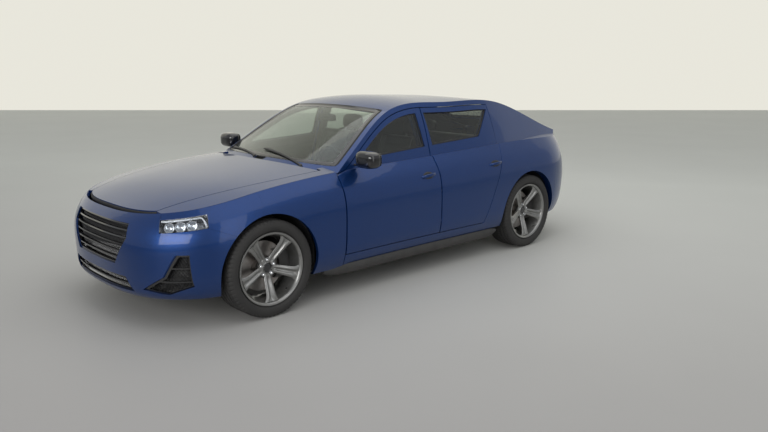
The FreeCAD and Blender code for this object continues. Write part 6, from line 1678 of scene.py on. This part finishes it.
def front_seat(x):
    """(centre pads, bolstered pads) of one front seat."""
    cushion = pad(SEAT_HALF * 2 - 0.01, SEAT_DEPTH - 0.03, 0.115, 5, 0.034)
    cushion = leant(cushion, 3.0, (x, SEAT_FRONT + SEAT_DEPTH / 2, SEAT_TOP - 0.128))
    rise = BACK_TOP - SEAT_TOP
    lean = math.degrees(math.atan2(BACK_LEAN, rise + 0.09))
    back = pad(SEAT_HALF * 2 - 0.02, math.hypot(rise, BACK_LEAN) - 0.02, 0.100, 7, 0.040)
    back_middle = (x, SEAT_FRONT + SEAT_DEPTH + BACK_LEAN / 2 - 0.012, (SEAT_TOP + BACK_TOP) / 2 - 0.010)
    turned_back = leant(back, 90.0 - lean, back_middle)
    head = soft_block((0, 0, 0), (0.125, 0.045, 0.075), 3.2, 40, 25)
    head = leant(head, -8.0, (x, SEAT_FRONT + SEAT_DEPTH + BACK_LEAN + 0.052, 1.150))
    posts = [swept(spline([(x + s, SEAT_FRONT + SEAT_DEPTH + BACK_LEAN - 0.005, BACK_TOP - 0.03),
                             (x + s, SEAT_FRONT + SEAT_DEPTH + BACK_LEAN + 0.040, 1.13)], 4), circle(0.006,
                                     10), up=(1, 0, 0))
             for s in (-0.055, 0.055)]
    base = soft_block((x, SEAT_FRONT + SEAT_DEPTH / 2, SEAT_TOP - 0.185),
                      (SEAT_HALF - 0.03, SEAT_DEPTH / 2 - 0.05, 0.070), 6.0, 40, 11)
    return cushion, turned_back, head, gathered(posts), base


for side, x in (("left", SEAT_X), ("right", -SEAT_X)):
    cushion, back, head, posts, base = front_seat(x)
    cushion_piece = make_piece(f"seat_cushion_{side}", cushion, seat_leather, "body", 50.0)
    back_piece = make_piece(f"seat_back_{side}", back, seat_leather, "body", 50.0)
    head_piece = make_piece(f"headrest_{side}", head, seat_leather, "body", 60.0)
    make_piece(f"headrest_posts_{side}", posts, satin, "body")
    make_piece(f"seat_base_{side}", base, cabin_plastic, "body")
    if side == "left":
        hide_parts("front_seats")

bench_low, bench_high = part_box("rear_seat")
print("rear seat box", [round(v, 3) for v in bench_low], [round(v, 3) for v in bench_high])
bench_width = float(bench_high.x - bench_low.x)
bench_cushion = pad(bench_width - 0.01, 0.480, 0.120, 4, 0.020, 0.024, 96)
bench_cushion = leant(bench_cushion, 4.0, (0, float(bench_low.y) + 0.250, 0.360))
bench_back = pad(bench_width - 0.02, 0.600, 0.110, 6, 0.024, 0.020, 96)
bench_back = leant(bench_back, 68.0, (0, float(bench_low.y) + 0.500, 0.715))
for name, shape in (("bench_cushion", bench_cushion), ("bench_back", bench_back)):
    piece = make_piece(name, shape, seat_leather, "body", 50.0)
    if name == "bench_cushion":
        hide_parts("rear_seat")
bench_base = soft_block((0, float(bench_low.y) + 0.255, 0.315), (bench_width / 2 - 0.03, 0.22, 0.060), 8.0,
                        60, 9)
make_piece("bench_base", bench_base, cabin_plastic, "body")
for k, x in enumerate((-0.38, 0.38)):
    head = soft_block((0, 0, 0), (0.115, 0.042, 0.060), 3.2, 36, 21)
    head = leant(head, -16.0, (x, float(bench_low.y) + 0.640, 1.055))
    make_piece(f"rear_headrest_{k + 1}", head, seat_leather, "body", 60.0)


# %% [markdown]
# The steering wheel has a round leather rim, three spokes and a plain pad. It is worked out in its own
# plane, across the steering column, so that it turns about the column without a wobble.

# %% Steering wheel
HUB = np.array([0.410, -0.550, 0.885])
COLUMN = unit(np.array([0.0, 0.92718, 0.37461]))
RING_RADIUS = 0.182
HUB_PAD_PROFILE = [(-0.040, 0.0), (-0.040, 0.048), (-0.024, 0.058), (-0.008, 0.060), (0.002, 0.056),
                   (0.010, 0.040),
                   (0.013, 0.0)]


def wheel_plane(angle, radius, sunk=0.0):
    """A place on the steering wheel: angle 0 is to the right of the driver, radius out from the hub."""
    right, up, _ = basis(COLUMN)
    angle, radius = np.asarray(angle, float)[..., None], np.asarray(radius, float)[..., None]
    return HUB + right * np.cos(angle) * radius + up * np.sin(angle) * radius + COLUMN * (np.asarray(sunk,
            float)[..., None])


def steering_wheel_shapes():
    """(rim, spokes, airbag pad): the rim is thicker at ten and two o'clock, as a hand holds it there."""
    angle = ring_of(120)
    grip = 1 + 0.14 * np.exp(-((np.abs(np.angle(np.exp(1j * (angle - math.pi / 2)))) - 0.95) / 0.22) ** 2)
    line = wheel_plane(angle, np.full(120, RING_RADIUS), np.zeros(120))
    rim = swept(line, circle(0.0135, 18), up=COLUMN, closed=True, scale=grip)
    spokes = []
    for degrees in (0.0, 180.0, 270.0):
        t = np.linspace(0, 1, 12)
        way = math.radians(degrees)
        line = wheel_plane(np.full(12, way), 0.045 + (RING_RADIUS - 0.047) * t, -0.018 * (1 - t) ** 1.5)
        spokes.append(swept(line, strip_section(0.030, 0.011, 14), up=COLUMN,
                                         scale=1.25 - 0.35 * t))
    middle = facing_disc(HUB_PAD_PROFILE, 56, HUB, COLUMN)
    return rim, gathered(spokes), middle


wheel_rim, wheel_spokes, wheel_pad = steering_wheel_shapes()
rim_piece = make_piece("wheel_rim_leather", wheel_rim, wheel_leather, "steering_wheel", 60.0)
make_piece("wheel_spokes", wheel_spokes, satin, "steering_wheel", 50.0)
make_piece("wheel_pad", wheel_pad, cabin_plastic, "steering_wheel", 50.0)
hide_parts("steering_wheel")

# %% [markdown]
# The dashboard carries a hooded cluster with two dials in front of the driver, a screen in the middle, and
# vents. Each sits on the dashboard's own surface, found by looking along the way it faces.

# %% Dashboard
dash_triangles = node_triangles("dashboard")


dash_top = float(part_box("dashboard")[1].z)
screen_y = float(laid_at(dash_triangles, 0.0, dash_top - 0.10, BACKWARDS)[1])
make_piece("centre_screen", soft_block((0.0, screen_y + 0.006, dash_top - 0.075), (0.135, 0.012, 0.068),
        9.0, 48, 17), trim_gloss,
           "body")
arc = np.linspace(0.12, math.pi - 0.12, 26)
hood_line = np.stack([0.410 + 0.150 * np.cos(arc), np.full(26, screen_y + 0.005),
                      dash_top - 0.060 + 0.072 * np.sin(arc)], axis=-1)
make_piece("cluster_hood", swept(hood_line,
        np.array([(-0.006, -0.055), (0.006, -0.055), (0.004, 0.045), (-0.004, 0.045)]),
                                              up=(0, 1, 0)), cabin_plastic, "body")
DIAL_PROFILE = [(-0.004, 0.0), (-0.004, 0.050), (0.003, 0.053), (0.006, 0.051), (0.003, 0.046),
                (0.0, 0.044), (0.0, 0.0)]
DIAL_DROP = 0.062
dials = [facing_disc(DIAL_PROFILE, 44, (x, screen_y + 0.008, dash_top - DIAL_DROP), (0.0, 1.0, 0.05))
         for x in (0.345, 0.475)]
make_piece("cluster_dials", gathered(dials), trim_gloss, "body", 40.0)
needles = []
for x, degrees in ((0.345, 200.0), (0.475, 230.0)):
    way = math.radians(degrees)
    centre = np.array([x, screen_y + 0.013, dash_top - DIAL_DROP])
    tip_place = centre + np.array([math.cos(way) * 0.036, 0.0, -math.sin(way) * 0.036])
    needles.append(swept(np.linspace(centre, tip_place, 4), circle(0.0012, 6), up=(0, 1, 0)))
make_piece("cluster_needles", gathered(needles), lamp_white, "body")
vents = []
for x, half in ((-0.225, 0.075), (0.205, 0.055), (-0.600, 0.060), (0.615, 0.050)):
    for level in range(5):
        z = dash_top - 0.055 - 0.014 * level
        y = float(laid_at(dash_triangles, x, z, BACKWARDS)[1])
        vents.append(soft_block((x, y + 0.004, z), (half, 0.010, 0.0028), 6.0, 20, 5))
make_piece("dash_vents", gathered(vents), trim_gloss, "body")


# %% [markdown]
# Each door has a card inside, with an armrest, a handle and a speaker ring on the door's inner face.

# %% Door cards
SPEAKER_PROFILE = [(-0.004, 0.0), (-0.004, 0.070), (0.005, 0.070), (0.007, 0.064), (0.004, 0.058),
                   (0.003, 0.020),
                   (0.005, 0.0)]
# Each door's armrest from y to y, and its speaker's (y, z)
door_cards = {"front": ((-0.52, -0.02), (-0.66, 0.42)), "rear": ((0.36, 0.78), (0.42, 0.44))}
for place, ((y0, y1), speaker) in door_cards.items():
    triangles = node_triangles(f"door_{place}_left")
    y = np.linspace(y0, y1, 24)
    line = laid_at(triangles, y, 0.66, RIGHT, 0.016)
    size = 0.55 + 0.45 * np.sin(np.linspace(0, math.pi, 24)) ** 0.4
    rest = swept(softened(line, 3, False), strip_section(0.036, 0.042, 16), up=(0, 0, 1), scale=size)
    ring_centre = laid_at(triangles, *speaker, RIGHT)
    ring = facing_disc(SPEAKER_PROFILE, 44, ring_centre, RIGHT)
    handle_line = laid_at(triangles, np.linspace(y0 + 0.02, y0 + 0.12, 10), 0.76, RIGHT, 0.010)
    handle = swept(softened(handle_line, 2, False), strip_section(0.012, 0.020, 12), up=(0, 0, 1))
    on_both_doors("armrest", place, rest, seat_leather, 50.0)
    on_both_doors("speaker", place, ring, cabin_plastic)
    on_both_doors("inner_handle", place, handle, satin, 50.0)


# %% [markdown]
# Three pedals hang under the dashboard, and a gear lever stands on the console in its leather boot. A mirror
# hangs from the roof's front edge.

# %% Pedals, gear lever and inner mirror
pedals = []
for x, z, tall in ((0.33, 0.40, 0.045), (0.43, 0.40, 0.045), (0.52, 0.37, 0.075)):
    pedals.append(leant(soft_block((0, 0, 0), (0.028, 0.007, tall), 5.0, 24, 9), -28.0, (x, -0.80, z)))
    pedals.append(swept(spline([(x, -0.806, z + 0.01), (x, -0.86, z + 0.13), (x, -0.88, z + 0.24)], 8),
                        circle(0.008, 8),
                                     up=(1, 0, 0)))
make_piece("pedals", gathered(pedals), trim, "body")
console_top = 0.520
BOOT_PROFILE = [(0.0, 0.0), (0.0, 0.058), (0.012, 0.050), (0.020, 0.040), (0.035, 0.026), (0.055, 0.014),
                (0.058, 0.0)]
lever = [facing_disc(BOOT_PROFILE, 36, (0.0, -0.330, console_top + 0.001), (0.0, 0.05, 1.0)),
         swept(spline([(0, -0.330, console_top + 0.04), (0, -0.325, console_top + 0.10)], 4),
               circle(0.006, 10), up=(1, 0, 0))]
knob = soft_block((0, -0.323, console_top + 0.118), (0.022, 0.027, 0.024), 2.6, 32, 17)
make_piece("gear_gaiter", gathered(lever), wheel_leather, "body", 50.0)
make_piece("gear_knob", knob, trim_gloss, "body", 60.0)
inner_mirror = soft_block((0.0, -0.300, 1.245), (0.115, 0.010, 0.030), 4.5, 40, 15)
make_piece("inner_mirror", inner_mirror, trim, "body", 60.0)


# %% [markdown]
# At the tail the bumper has a dark lower insert with four fins between the exhaust tips, and a red
# reflector near each corner. A thin bright line crosses the lid above it. All lie on the bumper's own skin.

# %% Tail insert and reflectors
bumper_triangles = node_triangles("rear_bumper")
bumper_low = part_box("rear_bumper")[0]


insert_x = np.linspace(-0.60, 0.60, 61)[None, :]
insert_low = float(bumper_low.z) + 0.012
insert_high = insert_low + 0.125 - 0.075 * np.clip((np.abs(insert_x) - 0.42) / 0.18, 0, 1) ** 1.6
insert_z = insert_low + (insert_high - insert_low) * np.linspace(0, 1, 9)[:, None]
insert = laid_at(bumper_triangles, insert_x, insert_z, BACKWARDS)
bow = np.sin(np.linspace(0, math.pi, 9))[:, None] * 0.004 + 0.0012
insert[:, :, 1] += bow
make_piece("tail_insert", walled(grid(insert), BACKWARDS), trim_rough, "body", 50.0)
fins = []
for x in (-0.24, -0.08, 0.08, 0.24):
    line = laid_at(bumper_triangles, x, np.linspace(insert_low + 0.006, insert_low + 0.112, 10), BACKWARDS,
                   0.006)
    fins.append(swept(softened(line, 2, False), strip_section(0.008, 0.024, 12), up=BACKWARDS))
make_piece("tail_fins", gathered(fins), trim_rough, "body", 50.0)
reflectors = []
for sign in (-1, 1):
    line = laid_at(bumper_triangles, sign * np.linspace(0.50, 0.63, 14), insert_low + 0.150, BACKWARDS, 0.002)
    reflectors.append(swept(softened(line, 2, False), strip_section(0.020, 0.007, 12), up=BACKWARDS))
make_piece("reflectors", gathered(reflectors), lens_red, "body", 50.0)
tailgate_triangles = node_triangles("tailgate")
bar_x = np.linspace(-0.44, 0.44, 40)
bar_z = float(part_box("tail_lamps")[0].z) + 0.030
bar_line = laid_at(tailgate_triangles, bar_x, bar_z, BACKWARDS, 0.0015)
make_piece("lid_bar", swept(softened(bar_line, 4, False), strip_section(0.014, 0.007, 12), up=BACKWARDS),
           chrome,
           "tailgate", 50.0)
